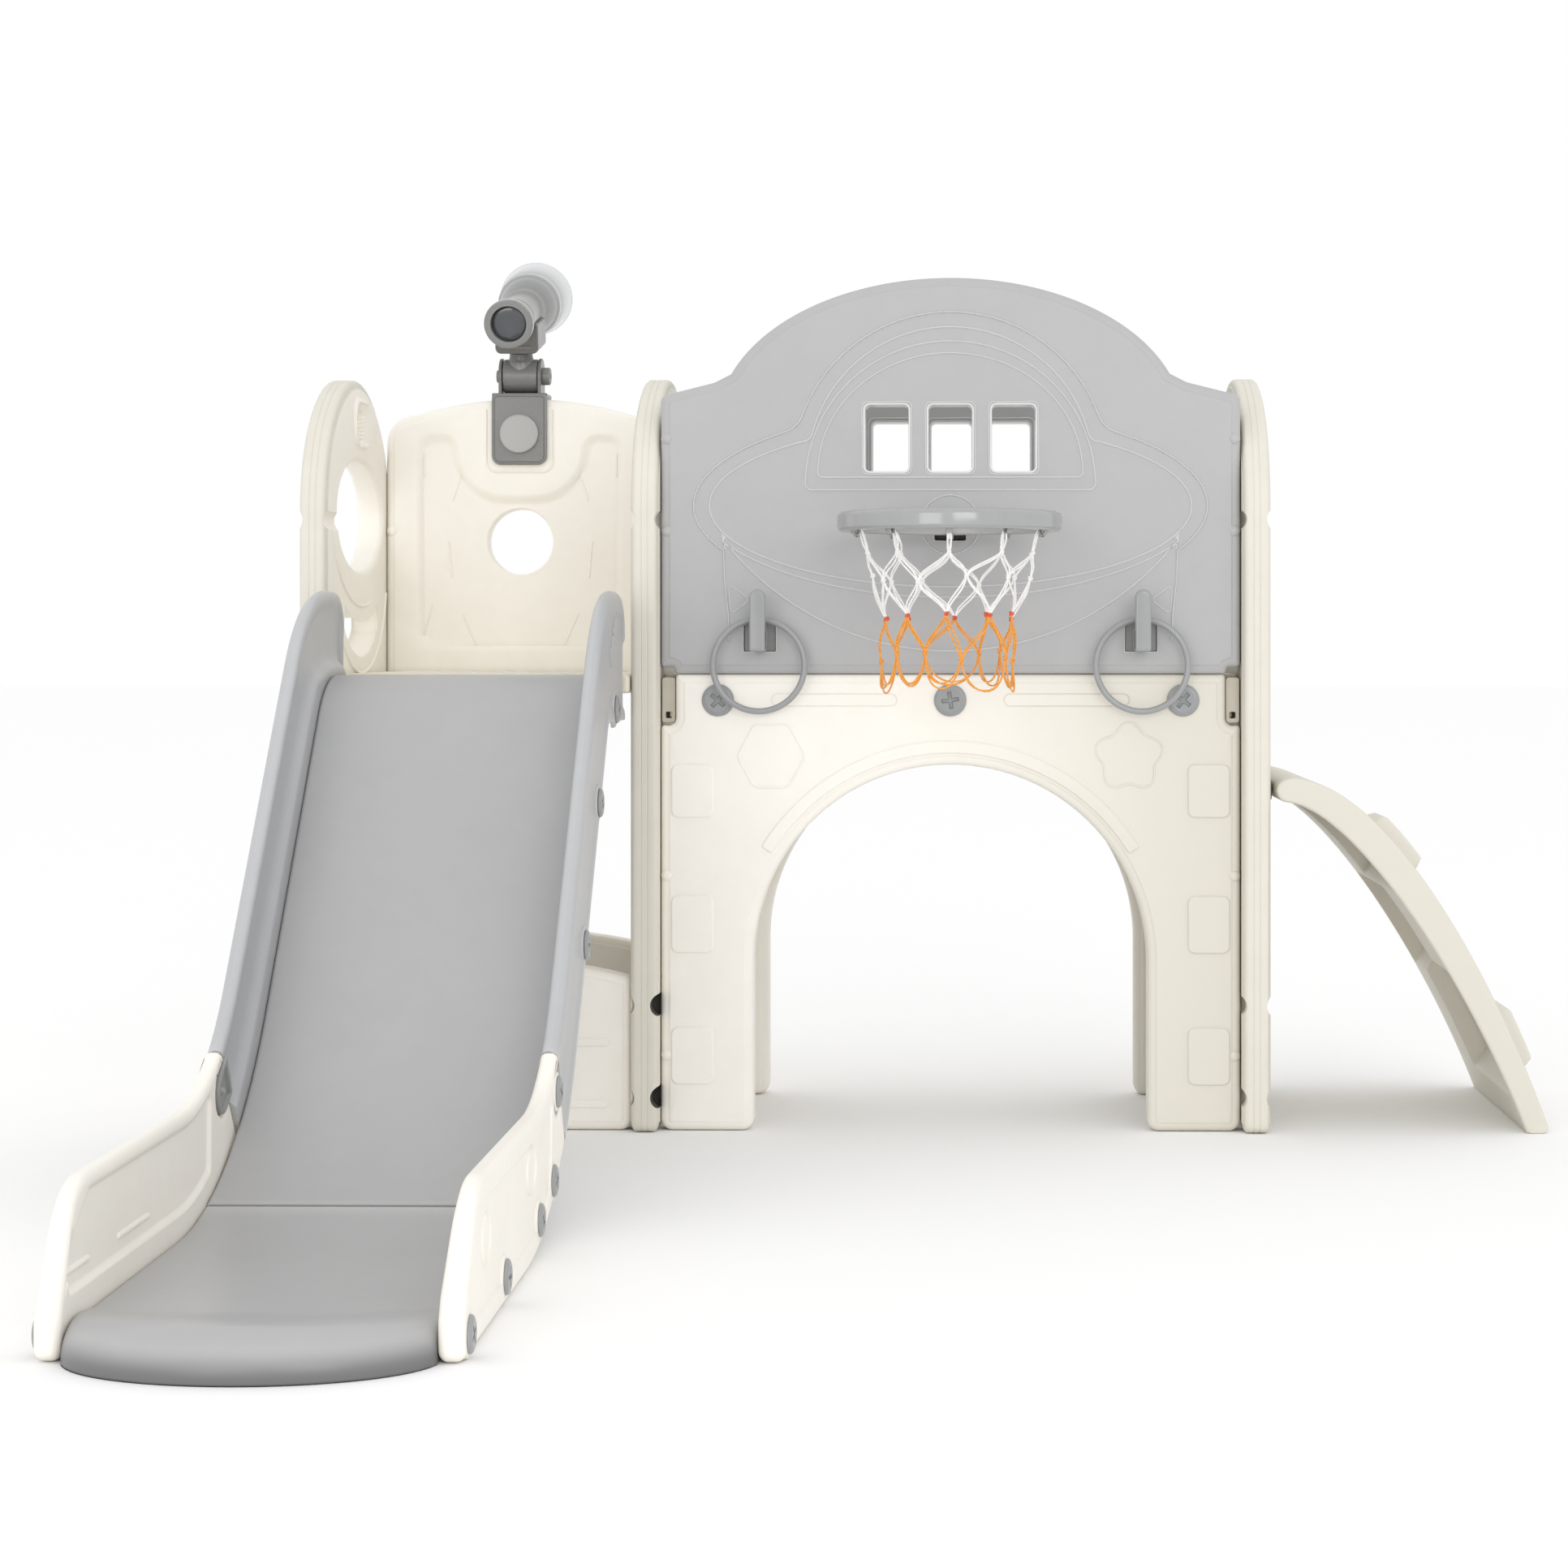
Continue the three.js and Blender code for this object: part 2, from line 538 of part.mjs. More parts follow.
for (const [which, side] of [["left", -1], ["right", 1]]) {
  const x = side * HOOK.x;
  addMesh(assembly, `ring_hook_${which}`, hookGeometry(), plastic(ACCESSORY_GRAY), [x, 0, 0]);
  const hanging = new THREE.Group();
  hanging.position.set(x, RING.y, ARM_Z);
  assembly.add(hanging);
  const major = RING.outer - RING.tube;
  const drop = major - RING.tube - HOOK.width / 2 - GAP;
  const ring = new THREE.TorusGeometry(major, RING.tube, 10, 40).rotateX(Math.PI / 2);
  addMesh(hanging, `toss_ring_${which}`, ring, plastic(ACCESSORY_GRAY), [0, 0, -drop]);
}

// ---- slide ----
// One of the slide's parallel lines in Y and Z: level at the platform, round over, straight down, round out.
function slideLine(rise, runoutZ, topRadius, bottomRadius, endY, steps = 8) {
  const { angle, platformEnd } = SLIDE;
  const level = DECK_Z + rise;
  const points = [];
  for (let i = 0; i <= steps; i++) {
    const turn = (angle * i) / steps;
    const y = platformEnd - topRadius * Math.sin(turn);
    points.push(new THREE.Vector2(y, level - topRadius * (1 - Math.cos(turn))));
  }
  const last = points[points.length - 1];
  const drop = last.y - runoutZ;
  const cornerY = last.x - drop / Math.tan(angle);
  const centreY = cornerY - bottomRadius * Math.tan(angle / 2);
  for (let i = 0; i <= steps; i++) {
    const turn = angle * (1 - i / steps);
    const y = centreY + bottomRadius * Math.sin(turn);
    points.push(new THREE.Vector2(y, runoutZ + bottomRadius * (1 - Math.cos(turn))));
  }
  points.push(new THREE.Vector2(endY, runoutZ));
  return points;
}

function bedShape() {
  const { thickness, runoutZ, topRadius, bottomRadius, front } = SLIDE;
  const start = SIDE.front - GAP;
  const top = slideLine(0, runoutZ, topRadius, bottomRadius, front);
  const underZ = runoutZ - thickness;
  const under = slideLine(-thickness, underZ, topRadius - thickness, bottomRadius + thickness, front);
  return new THREE.Shape([
    new THREE.Vector2(start, DECK_Z),
    ...top,
    ...under.reverse(),
    new THREE.Vector2(start, DECK_Z - thickness),
  ]);
}

function lipGeometry() {
  const { bedHalf, front, lipFront, lipHeight, lipOverlap } = SLIDE;
  const plan = new THREE.Shape();
  const back = front + lipOverlap;
  plan.moveTo(-bedHalf, back);
  plan.lineTo(-bedHalf, front);
  plan.absellipse(0, front, bedHalf, front - lipFront, Math.PI, 2 * Math.PI);
  plan.lineTo(bedHalf, back);
  plan.closePath();
  return extruded(plan, lipHeight, 10);
}

const fullBed = sidePlate(bedShape(), 0, 2 * SLIDE.bedHalf);
const FAR = 1400; // half size of a block that splits a whole piece in two
const beforeSeam = box(-FAR, FAR, SLIDE.bedSeam - FAR, SLIDE.bedSeam + GAP, -FAR, FAR);
const behindSeam = box(-FAR, FAR, SLIDE.bedSeam, FAR, -FAR, FAR);
const upperBed = cut(fullBed, beforeSeam);
const lowerBed = joined(cut(fullBed, behindSeam), lipGeometry());
addMesh(assembly, "slide_upper_bed", upperBed, plastic(LIGHT_GRAY), [SLIDE.x, 0, 0]);
addMesh(assembly, "slide_lower_bed", lowerBed, plastic(LIGHT_GRAY), [SLIDE.x, 0, 0]);

const WALL = { lugZ: 523, noseTop: -1180, backRadius: 38 };
const SIDE_SEAM = { y: -648, z: 137, tilt: THREE.MathUtils.degToRad(31) };
// The rail's round-ended tongue, let into the wall around the joint bolt.
const TONGUE = { y: -680, z: 146, radius: 24, reach: 40 };

function wallShape() {
  const { railRise, wallTopZ, topRadius, wallTopRadius, thickness, bottomRadius, front } = SLIDE;
  const start = SIDE.front - 6;
  const top = slideLine(railRise, wallTopZ, topRadius + railRise, wallTopRadius, WALL.noseTop);
  const under = slideLine(-thickness, 0, topRadius - thickness, bottomRadius, front + 8);
  const underSlope = under.filter((point) => point.y < WALL.lugZ + 3);
  const shape = new THREE.Shape();
  shape.moveTo(start, WALL.lugZ);
  shape.lineTo(start, DECK_Z + railRise - WALL.backRadius);
  shape.absarc(start - WALL.backRadius, DECK_Z + railRise - WALL.backRadius, WALL.backRadius, 0, Math.PI / 2);
  for (const point of top) shape.lineTo(point.x, point.y);
  shape.quadraticCurveTo(front + 68, wallTopZ, front + 40, 108);
  shape.lineTo(front + 6, 58);
  shape.quadraticCurveTo(front - 4, 42, front - 4, 26);
  shape.lineTo(front - 4, 8);
  for (const point of underSlope.reverse()) shape.lineTo(point.x, point.y);
  shape.closePath();
  return shape;
}

// Bolt centres in Y and Z, along the bed's edge.
const RAIL_BOLTS = [
  [-123, 538],
  [-302, 432],
  [-437, 278],
];
const WALL_BOLTS = [
  [-716, 59],
  [-820, 37],
  [-1055, 27],
  [-1272, 21],
  [-682, 147],
];

const SIDE_THICKNESS = SLIDE.outerHalf - SLIDE.bedHalf - GAP;

function tongueBlock(grow) {
  const { y, z, radius, reach } = TONGUE;
  const across = SIDE_THICKNESS + 20;
  const half = radius + grow;
  const round = rod(half, 0, 0, 0, across, true, 32);
  const root = box(-across / 2, across / 2, 0, reach, -half, half);
  return joined(round, root).rotateX(SIDE_SEAM.tilt).translate(0, y, z);
}

function slideSides() {
  const shape = wallShape();
  for (const [y, z] of [...RAIL_BOLTS, ...WALL_BOLTS]) {
    shape.holes.push(circleHole(y, z, BOLT.shankRadius + GAP));
  }
  const full = sidePlate(shape, 0, SIDE_THICKNESS, 4);
  const wallSide = (gap) => {
    const block = box(-FAR, FAR, -FAR, -gap, -FAR, FAR);
    const placed = block.rotateX(SIDE_SEAM.tilt).translate(0, SIDE_SEAM.y, SIDE_SEAM.z);
    return cut(placed, tongueBlock(gap));
  };
  const rail = cut(full, wallSide(0));
  const wall = toGeometry(toSolid(full).intersect(toSolid(wallSide(GAP))));
  return { rail, wall };
}

function boltGeometry(outward) {
  const head = rod(BOLT.headRadius, outward * (BOLT.headHeight / 2), 0, 0, BOLT.headHeight, true, 16);
  const length = SIDE_THICKNESS;
  const shank = rod(BOLT.shankRadius, -outward * (length / 2 - GAP), 0, 0, length, true, 10);
  return joined(head, shank);
}

for (const [which, side] of [["left", -1], ["right", 1]]) {
  const { rail, wall } = slideSides();
  const middle = SLIDE.x + side * (SLIDE.outerHalf - SIDE_THICKNESS / 2);
  addMesh(assembly, `slide_rail_${which}`, rail, plastic(LIGHT_GRAY), [middle, 0, 0]);
  addMesh(assembly, `slide_wall_${which}`, wall, plastic(IVORY), [middle, 0, 0]);
  const faceX = SLIDE.x + side * (SLIDE.outerHalf + GAP);
  RAIL_BOLTS.forEach(([y, z], i) => {
    const name = `slide_rail_bolt_${which}_${i + 1}`;
    addMesh(assembly, name, boltGeometry(side), plastic(SCREW_GRAY, 0.35), [faceX, y, z]);
  });
  WALL_BOLTS.forEach(([y, z], i) => {
    const name = `slide_wall_bolt_${which}_${i + 1}`;
    addMesh(assembly, name, boltGeometry(side), plastic(SCREW_GRAY, 0.35), [faceX, y, z]);
  });
}

// ---- climber ----
function climberOutline() {
  const { x, topZ, footX } = CLIMBER;
  const shape = new THREE.Shape();
  shape.moveTo(x, topZ - 15);
  shape.quadraticCurveTo(x, topZ, x + 24, topZ);
  shape.bezierCurveTo(x + 150, topZ - 10, x + 285, topZ - 270, footX, 6);
  shape.lineTo(footX - 6, 0);
  shape.lineTo(footX - 28, 0);
  shape.bezierCurveTo(x + 250, topZ - 250, x + 105, topZ - 35, x + 14, topZ - 31);
  shape.quadraticCurveTo(x, topZ - 31, x, topZ - 15);
  return shape;
}

// Raised hand and foot holds: rounded blocks on the ladder's top face, near side (-1) and far side (1) in turn.
const HOLDS = [
  { x: 560, z: 360, slope: 43, side: -1 },
  { x: 654, z: 235, slope: 60, side: 1 },
  { x: 716, z: 112, slope: 66, side: -1 },
];
const HOLD = { length: 92, rise: 22, width: 118, offset: 105 };

function holdGeometry({ x, z, slope }, y) {
  const block = new THREE.CylinderGeometry(HOLD.length / 2, HOLD.length / 2, HOLD.width, 20);
  block.scale(1, 1, (2 * HOLD.rise) / HOLD.length);
  return block.rotateY(THREE.MathUtils.degToRad(slope)).translate(x, y, z);
}

function climberGeometry() {
  const { frontY, width } = CLIMBER;
  const slab = frontPlate(climberOutline(), frontY, width, 8);
  const middle = frontY + width / 2;
  const holds = HOLDS.map((hold) => holdGeometry(hold, middle + hold.side * HOLD.offset));
  return joined(slab, ...holds);
}

addMesh(assembly, "climber_ladder", climberGeometry(), plastic(IVORY));

const hookPlateX = SIDE_X.right + SIDE.thickness / 2 + GAP;
const hookPlate = box(hookPlateX, CLIMBER.x - GAP, 40, 370, CLIMBER.topZ - 30, CLIMBER.topZ - 4);
addMesh(assembly, "climber_hook_plate", hookPlate, plastic(DARK_GRAY));

// ---- the playhouse stands on the ground plane, centred ----
const bounds = new THREE.Box3().setFromObject(assembly, true);
const centre = bounds.getCenter(new THREE.Vector3());
assembly.position.set(-centre.x, -centre.y, -bounds.min.z);

const playhouse = new THREE.Group();
playhouse.add(assembly);

export default playhouse;
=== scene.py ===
from math import acos, asin, atan2, cos, hypot, pi, radians, sin, sqrt, tan

import bmesh
import bpy
import numpy as np
from mathutils import Matrix, Vector
from mathutils.geometry import delaunay_2d_cdt


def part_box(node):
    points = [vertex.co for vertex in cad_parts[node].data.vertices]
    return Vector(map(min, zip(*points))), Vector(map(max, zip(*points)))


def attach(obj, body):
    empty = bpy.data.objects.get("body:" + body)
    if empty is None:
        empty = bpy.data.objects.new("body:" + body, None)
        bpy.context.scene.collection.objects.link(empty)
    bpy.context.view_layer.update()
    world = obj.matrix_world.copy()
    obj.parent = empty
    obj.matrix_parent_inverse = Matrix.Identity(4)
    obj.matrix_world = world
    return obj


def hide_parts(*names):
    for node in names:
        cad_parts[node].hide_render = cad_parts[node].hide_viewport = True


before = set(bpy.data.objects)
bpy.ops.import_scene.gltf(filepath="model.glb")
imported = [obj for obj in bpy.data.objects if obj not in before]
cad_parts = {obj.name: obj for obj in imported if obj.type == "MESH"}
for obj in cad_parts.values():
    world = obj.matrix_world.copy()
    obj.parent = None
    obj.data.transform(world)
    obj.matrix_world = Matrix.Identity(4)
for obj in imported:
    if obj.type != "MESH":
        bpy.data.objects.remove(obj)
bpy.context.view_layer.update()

# A plastic playhouse. Lengths are in millimetres in its own frame: X = 0 at the middle of the arch,
# Y = 0 on the arch's front face, Z = 0 on the ground. piece() turns them into the frame's metres.
MM = 0.001
ARCH_LOW, ARCH_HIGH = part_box("front_arch_panel")
ORIGIN = Vector(((ARCH_LOW.x + ARCH_HIGH.x) / 2, ARCH_LOW.y, 0)) / MM


class Span:
    """The box of a CAD node: x0, x1, y0, y1, z0, z1 and its middle x, y, z."""

    def __init__(self, node):
        low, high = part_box(node)
        self.x0, self.y0, self.z0 = low / MM - ORIGIN
        self.x1, self.y1, self.z1 = high / MM - ORIGIN
        self.x = (self.x0 + self.x1) / 2
        self.y = (self.y0 + self.y1) / 2
        self.z = (self.z0 + self.z1) / 2


ARCH = Span("front_arch_panel")
UPPER = Span("front_upper_panel")
DECK = Span("bridge_deck")
LEFT = Span("left_side_panel")
CENTRE = Span("centre_side_panel")
RIGHT = Span("right_side_panel")
HOOP = Span("hoop_ring")
BED = Span("slide_upper_bed")
RAIL = Span("slide_rail_right")
CLIMBER = Span("climber_ladder")
TOWER_X = (LEFT.x + CENTRE.x) / 2
DECK_Z = DECK.z1


# ---- materials ----
def node(tree, kind, at=None, **settings):
    """A shader node with its settings; at holds the values of inputs that share a name, by index."""
    made = tree.nodes.new(kind)
    for key, value in settings.items():
        if key in made.inputs:
            made.inputs[key].default_value = value
        else:
            setattr(made, key, value)
    for index, value in (at or {}).items():
        made.inputs[index].default_value = value
    return made


def new_material(name):
    """A material, its node tree, its shader, and the node that gives places on the piece."""
    material = bpy.data.materials.new(name)
    material.use_nodes = True
    tree = material.node_tree
    return material, tree, tree.nodes["Principled BSDF"], node(tree, "ShaderNodeTexCoord")


def linear(red, green, blue):
    parts = [c / 255 for c in (red, green, blue)]
    return [c / 12.92 if c <= 0.04045 else ((c + 0.055) / 1.055) ** 2.4 for c in parts] + [1]


def plastic(name, colour, shade, roughness=0.42, grain=0.06, grain_scale=900, gloss=0.35, glow=0.0, painted_fade=None,
            shadow=(0.86, 0.84, 0.80), axis="Y"):
    """Moulded plastic: soft mottling, a fine skin texture, uneven gloss, painted shade in creases and a
    painted highlight on crests.
    The painted fade, given as (from, to, colour), is a slow change of colour along one axis of the piece:
    painted light and shade, not the plastic's own colour."""
    material, tree, shader, place = new_material(name)
    link = tree.links.new
    mottle = node(tree, "ShaderNodeTexNoise", Scale=5.0, Detail=4.0, Roughness=0.55)
    link(place.outputs["Object"], mottle.inputs["Vector"])
    streak = node(tree, "ShaderNodeTexNoise", Scale=34.0, Detail=6.0, Roughness=0.6)
    link(place.outputs["Object"], streak.inputs["Vector"])
    both = node(tree, "ShaderNodeMix", data_type="FLOAT", at={0: 0.4})
    link(mottle.outputs["Fac"], both.inputs[2])
    link(streak.outputs["Fac"], both.inputs[3])
    tone = node(tree, "ShaderNodeMix", data_type="RGBA", at={6: linear(*shade), 7: linear(*colour)})
    spread = node(tree, "ShaderNodeMapRange", at={1: 0.32, 2: 0.68})
    link(both.outputs[0], spread.inputs[0])
    link(spread.outputs[0], tone.inputs[0])
    base = tone.outputs[2]
    # A slow change of colour along one axis: painted light and shade.
    if painted_fade:
        split = node(tree, "ShaderNodeSeparateXYZ")
        link(place.outputs["Object"], split.inputs[0])
        along = node(tree, "ShaderNodeMapRange", interpolation_type="SMOOTHSTEP")
        along.inputs[1].default_value, along.inputs[2].default_value = painted_fade[:2]
        link(split.outputs[axis], along.inputs[0])
        painted_fade_mix = node(tree, "ShaderNodeMix", data_type="RGBA", at={7: linear(*painted_fade[2])})
        link(along.outputs[0], painted_fade_mix.inputs[0])
        link(base, painted_fade_mix.inputs[6])
        base = painted_fade_mix.outputs[2]
    # Convex edges are mixed towards a paler colour: a painted highlight.
    crest = node(tree, "ShaderNodeNewGeometry")
    raised = node(tree, "ShaderNodeMapRange", at={1: 0.515, 2: 0.60, 4: 0.16})
    link(crest.outputs["Pointiness"], raised.inputs[0])
    painted_crest_highlight = node(tree, "ShaderNodeMix", data_type="RGBA", at={7: (0.93, 0.92, 0.90, 1)})
    link(raised.outputs[0], painted_crest_highlight.inputs[0])
    link(base, painted_crest_highlight.inputs[6])
    base = painted_crest_highlight.outputs[2]
    # Ambient occlusion darkens creases and hollows by the shadow colour: painted shade.
    crease = node(tree, "ShaderNodeAmbientOcclusion", samples=4)
    crease.inputs["Distance"].default_value = 0.009
    painted_crease_shade = node(tree, "ShaderNodeMix", data_type="RGBA", blend_type="MULTIPLY", at={7: (*shadow, 1)})
    hollow = node(tree, "ShaderNodeMath", operation="SUBTRACT", at={0: 1.0})
    link(crease.outputs["AO"], hollow.inputs[1])
    link(hollow.outputs[0], painted_crease_shade.inputs[0])
    link(base, painted_crease_shade.inputs[6])
    link(painted_crease_shade.outputs[2], shader.inputs["Base Color"])
    rough = node(tree, "ShaderNodeMapRange", at={3: roughness - 0.06, 4: roughness + 0.08})
    link(streak.outputs["Fac"], rough.inputs[0])
    link(rough.outputs[0], shader.inputs["Roughness"])
    skin = node(tree, "ShaderNodeTexNoise", Scale=grain_scale, Detail=2.0, Roughness=0.5)
    link(place.outputs["Object"], skin.inputs["Vector"])
    wave = node(tree, "ShaderNodeTexNoise", Scale=11.0, Detail=2.0)
    link(place.outputs["Object"], wave.inputs["Vector"])
    fine = node(tree, "ShaderNodeBump", Strength=grain, Distance=0.0004)
    link(skin.outputs["Fac"], fine.inputs["Height"])
    broad = node(tree, "ShaderNodeBump", Strength=0.10, Distance=0.004)
    link(wave.outputs["Fac"], broad.inputs["Height"])
    link(fine.outputs["Normal"], broad.inputs["Normal"])
    link(broad.outputs["Normal"], shader.inputs["Normal"])
    shader.inputs["Specular IOR Level"].default_value = gloss
    shader.inputs["Subsurface Weight"].default_value = glow
    shader.inputs["Subsurface Radius"].default_value = (0.010, 0.009, 0.007)
    shader.inputs["Subsurface Scale"].default_value = 0.4
    return material


# The ivory darkens slowly towards +X across the playhouse: painted falloff of the light, not the plastic's
# colour.
IVORY_PAINTED_FALLOFF = ((-120 + ORIGIN.x) * MM, (360 + ORIGIN.x) * MM, (216, 212, 200))
IVORY = plastic("ivory_moulded", (250, 246, 238), (244, 240, 231), 0.46, glow=0.05, painted_fade=IVORY_PAINTED_FALLOFF, axis="X")
# A darker copy of the ivory on the side panels' edge walls: painted shade.
IVORY_EDGE_PAINTED_SHADE = plastic("ivory_edge_painted_shade", (223, 219, 207), (216, 212, 199), 0.5, 0.12, 600)
IVORY_DECK = plastic("ivory_deck", (238, 233, 218), (229, 223, 205), 0.55, 0.14, 420)
# A darker ivory for the deck's lugs: painted shade.
LUG_PAINTED_SHADE = plastic("shaded_lug", (196, 190, 176), (180, 174, 160), 0.5)
GRAY = plastic("light_gray_moulded", (179, 179, 179), (174, 174, 175), 0.38, shadow=(0.95, 0.95, 0.95))
# A paler gray on the tops of the ridges: a painted highlight.
GRAY_PAINTED_HIGHLIGHT = plastic("light_gray_crest_painted_highlight", (199, 199, 200), (193, 193, 194), 0.34, shadow=(0.97, 0.97, 0.97))
# A paler gray on the windows' inner walls, lifting them out of their shade: painted light.
GRAY_PANE_PAINTED_LIGHT = plastic("light_gray_pane_wall_painted_light", (228, 228, 229), (222, 222, 223), 0.34, shadow=(0.99, 0.99, 0.99))
RAIL_GRAY = plastic("rail_gray_moulded", (186, 187, 189), (180, 181, 183), 0.34)
DARK = plastic("dark_gray_moulded", (114, 114, 112), (105, 105, 103), 0.26, gloss=0.5)
CAP_GRAY = plastic("cap_gray", (166, 166, 164), (159, 159, 157), 0.22, gloss=0.5)
# The tube pales towards its wide end: a painted highlight.
TUBE_PAINTED_HIGHLIGHT = ((410 + ORIGIN.y) * MM, (590 + ORIGIN.y) * MM, (224, 227, 229))
TUBE_GRAY = plastic("tube_gray", (120, 120, 118), (111, 111, 109), 0.14, 0.03, gloss=0.65, painted_fade=TUBE_PAINTED_HIGHLIGHT)
SHINY = plastic("accessory_gray", (154, 155, 156), (146, 147, 148), 0.18, 0.03, gloss=0.6)
HOOP_GRAY = plastic("hoop_gray", (160, 161, 161), (151, 152, 152), 0.12, 0.03, gloss=0.7)
SCREW = plastic("screw_gray", (152, 154, 155), (142, 144, 146), 0.28, 0.05, gloss=0.5)
# A dark tone for the hoop bracket's socket: painted shadow.
SOCKET_PAINTED_SHADOW = plastic("socket_shadow", (88, 72, 72), (74, 60, 60), 0.4)
SOCKET_GRAY = plastic("socket_gray", (150, 150, 150), (142, 142, 142), 0.34)
GAP_SHADE = plastic("groove_shadow", (92, 90, 84), (78, 76, 70), 0.6)
# The run-out darkens below 30 mm, most near the ground where its lip rolls over: painted shade.
LIP_PAINTED_SHADE = (30 * MM, 5 * MM, (112, 112, 113))
LIP_SHADOW = (0.9, 0.9, 0.9)
LIP_GRAY = plastic(
    "run_out_gray", (178, 178, 178), (173, 173, 174), 0.32, painted_fade=LIP_PAINTED_SHADE, shadow=LIP_SHADOW, axis="Z"
)


def glass(name):
    material, tree, shader, place = new_material(name)
    link = tree.links.new
    smear = node(tree, "ShaderNodeTexNoise", Scale=26.0, Detail=5.0)
    link(place.outputs["Object"], smear.inputs["Vector"])
    tone = node(tree, "ShaderNodeMix", data_type="RGBA", at={6: linear(58, 60, 64), 7: linear(84, 86, 90)})
    link(smear.outputs["Fac"], tone.inputs[0])
    link(tone.outputs[2], shader.inputs["Base Color"])
    rough = node(tree, "ShaderNodeMapRange", at={3: 0.03, 4: 0.12})
    link(smear.outputs["Fac"], rough.inputs[0])
    link(rough.outputs[0], shader.inputs["Roughness"])
    shader.inputs["Coat Weight"].default_value = 0.6
    return material


def twine(name, colour, shade):
    """Braided cord: fine slanting strands in colour and bump."""
    material, tree, shader, place = new_material(name)
    link = tree.links.new
    strand = node(tree, "ShaderNodeTexWave", Scale=190.0, Distortion=3.0, Detail=2.0)
    strand.bands_direction = "DIAGONAL"
    link(place.outputs["Object"], strand.inputs["Vector"])
    fuzz = node(tree, "ShaderNodeTexNoise", Scale=700.0, Detail=3.0)
    link(place.outputs["Object"], fuzz.inputs["Vector"])
    tone = node(tree, "ShaderNodeMix", data_type="RGBA", at={6: linear(*shade), 7: linear(*colour)})
    link(strand.outputs["Fac"], tone.inputs[0])
    link(tone.outputs[2], shader.inputs["Base Color"])
    strands = node(tree, "ShaderNodeBump", Strength=0.6, Distance=0.0006)
    link(strand.outputs["Fac"], strands.inputs["Height"])
    hairs = node(tree, "ShaderNodeBump", Strength=0.3, Distance=0.0003)
    link(fuzz.outputs["Fac"], hairs.inputs["Height"])
    link(strands.outputs["Normal"], hairs.inputs["Normal"])
    link(hairs.outputs["Normal"], shader.inputs["Normal"])
    shader.inputs["Roughness"].default_value = 0.8
    shader.inputs["Sheen Weight"].default_value = 0.3
    return material


LENS = glass("lens")
WHITE_CORD = twine("white_cord", (252, 251, 250), (236, 235, 233))
ORANGE_CORD = twine("orange_cord", (247, 174, 74), (228, 142, 44))
TIE_CORD = twine("tie_cord", (232, 104, 70), (206, 82, 52))


# ---- making pieces ----
CREASE = radians(32)
WELD = 0.02


class Shape:
    """Points and faces in millimetres; each face may name its material by number."""

    def __init__(self):
        self.points = []
        self.faces = []
        self.tones = []

    def add(self, points, faces, tone=0):
        start = len(self.points)
        self.points += [tuple(p) for p in points]
        self.faces += [[start + i for i in face] for face in faces]
        self.tones += [tone] * len(faces)

    def grid(self, rows, around=False, along=False, tone=0):
        """Quads between rows of equal length; around closes each row, along closes the last to the first."""
        count = len(rows[0])
        flat = [p for row in rows for p in row]
        faces = []
        for i in range(len(rows) - (0 if along else 1)):
            for j in range(count - (0 if around else 1)):
                a, b = i * count, ((i + 1) % len(rows)) * count
                k = (j + 1) % count
                faces.append([a + j, a + k, b + k, b + j])
        self.add(flat, faces, tone)

    def loft(self, rows, tone=0):
        """A closed solid through closed rows, its ends filled."""
        self.grid(rows, around=True, tone=tone)
        for row in (rows[0], rows[-1]):
            self.add(row, [list(range(len(row)))], tone)

    def merge(self, other, move=None):
        points = [move @ Vector(p) for p in other.points] if move else other.points
        start = len(self.points)
        self.points += [tuple(p) for p in points]
        self.faces += [[start + i for i in face] for face in other.faces]
        self.tones += other.tones


def piece(name, shape, materials, nodes, body="playhouse", crease=CREASE, cutters=None):
    if not isinstance(materials, (list, tuple)):
        materials = [materials]
    mesh = bpy.data.meshes.new(name)
    soup = bmesh.new()
    verts = [soup.verts.new((ORIGIN + Vector(p)) * MM) for p in shape.points]
    for face, tone in zip(shape.faces, shape.tones):
        try:
            soup.faces.new([verts[i] for i in face]).material_index = tone
        except ValueError:
            continue
    bmesh.ops.remove_doubles(soup, verts=soup.verts, dist=WELD * MM)
    bmesh.ops.dissolve_degenerate(soup, edges=soup.edges, dist=WELD * MM / 4)
    bmesh.ops.recalc_face_normals(soup, faces=soup.faces)
    for face in soup.faces:
        face.smooth = True
    soup.to_mesh(mesh)
    soup.free()
    made = bpy.data.objects.new(name, mesh)
    bpy.context.scene.collection.objects.link(made)
    for material in materials:
        mesh.materials.append(material)
    if cutters:
        carve(made, cutters)
    mark_creases(made.data, crease)
    made.modifiers.new("even_shading", "WEIGHTED_NORMAL").keep_sharp = True
    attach(made, body)
    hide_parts(*nodes)
    return made


def mark_creases(mesh, crease):
    soup = bmesh.new()
    soup.from_mesh(mesh)
    for edge in soup.edges:
        if len(edge.link_faces) == 2:
            edge.smooth = edge.calc_face_angle(0) < crease
    for face in soup.faces:
        face.smooth = True
    soup.to_mesh(mesh)
    soup.free()


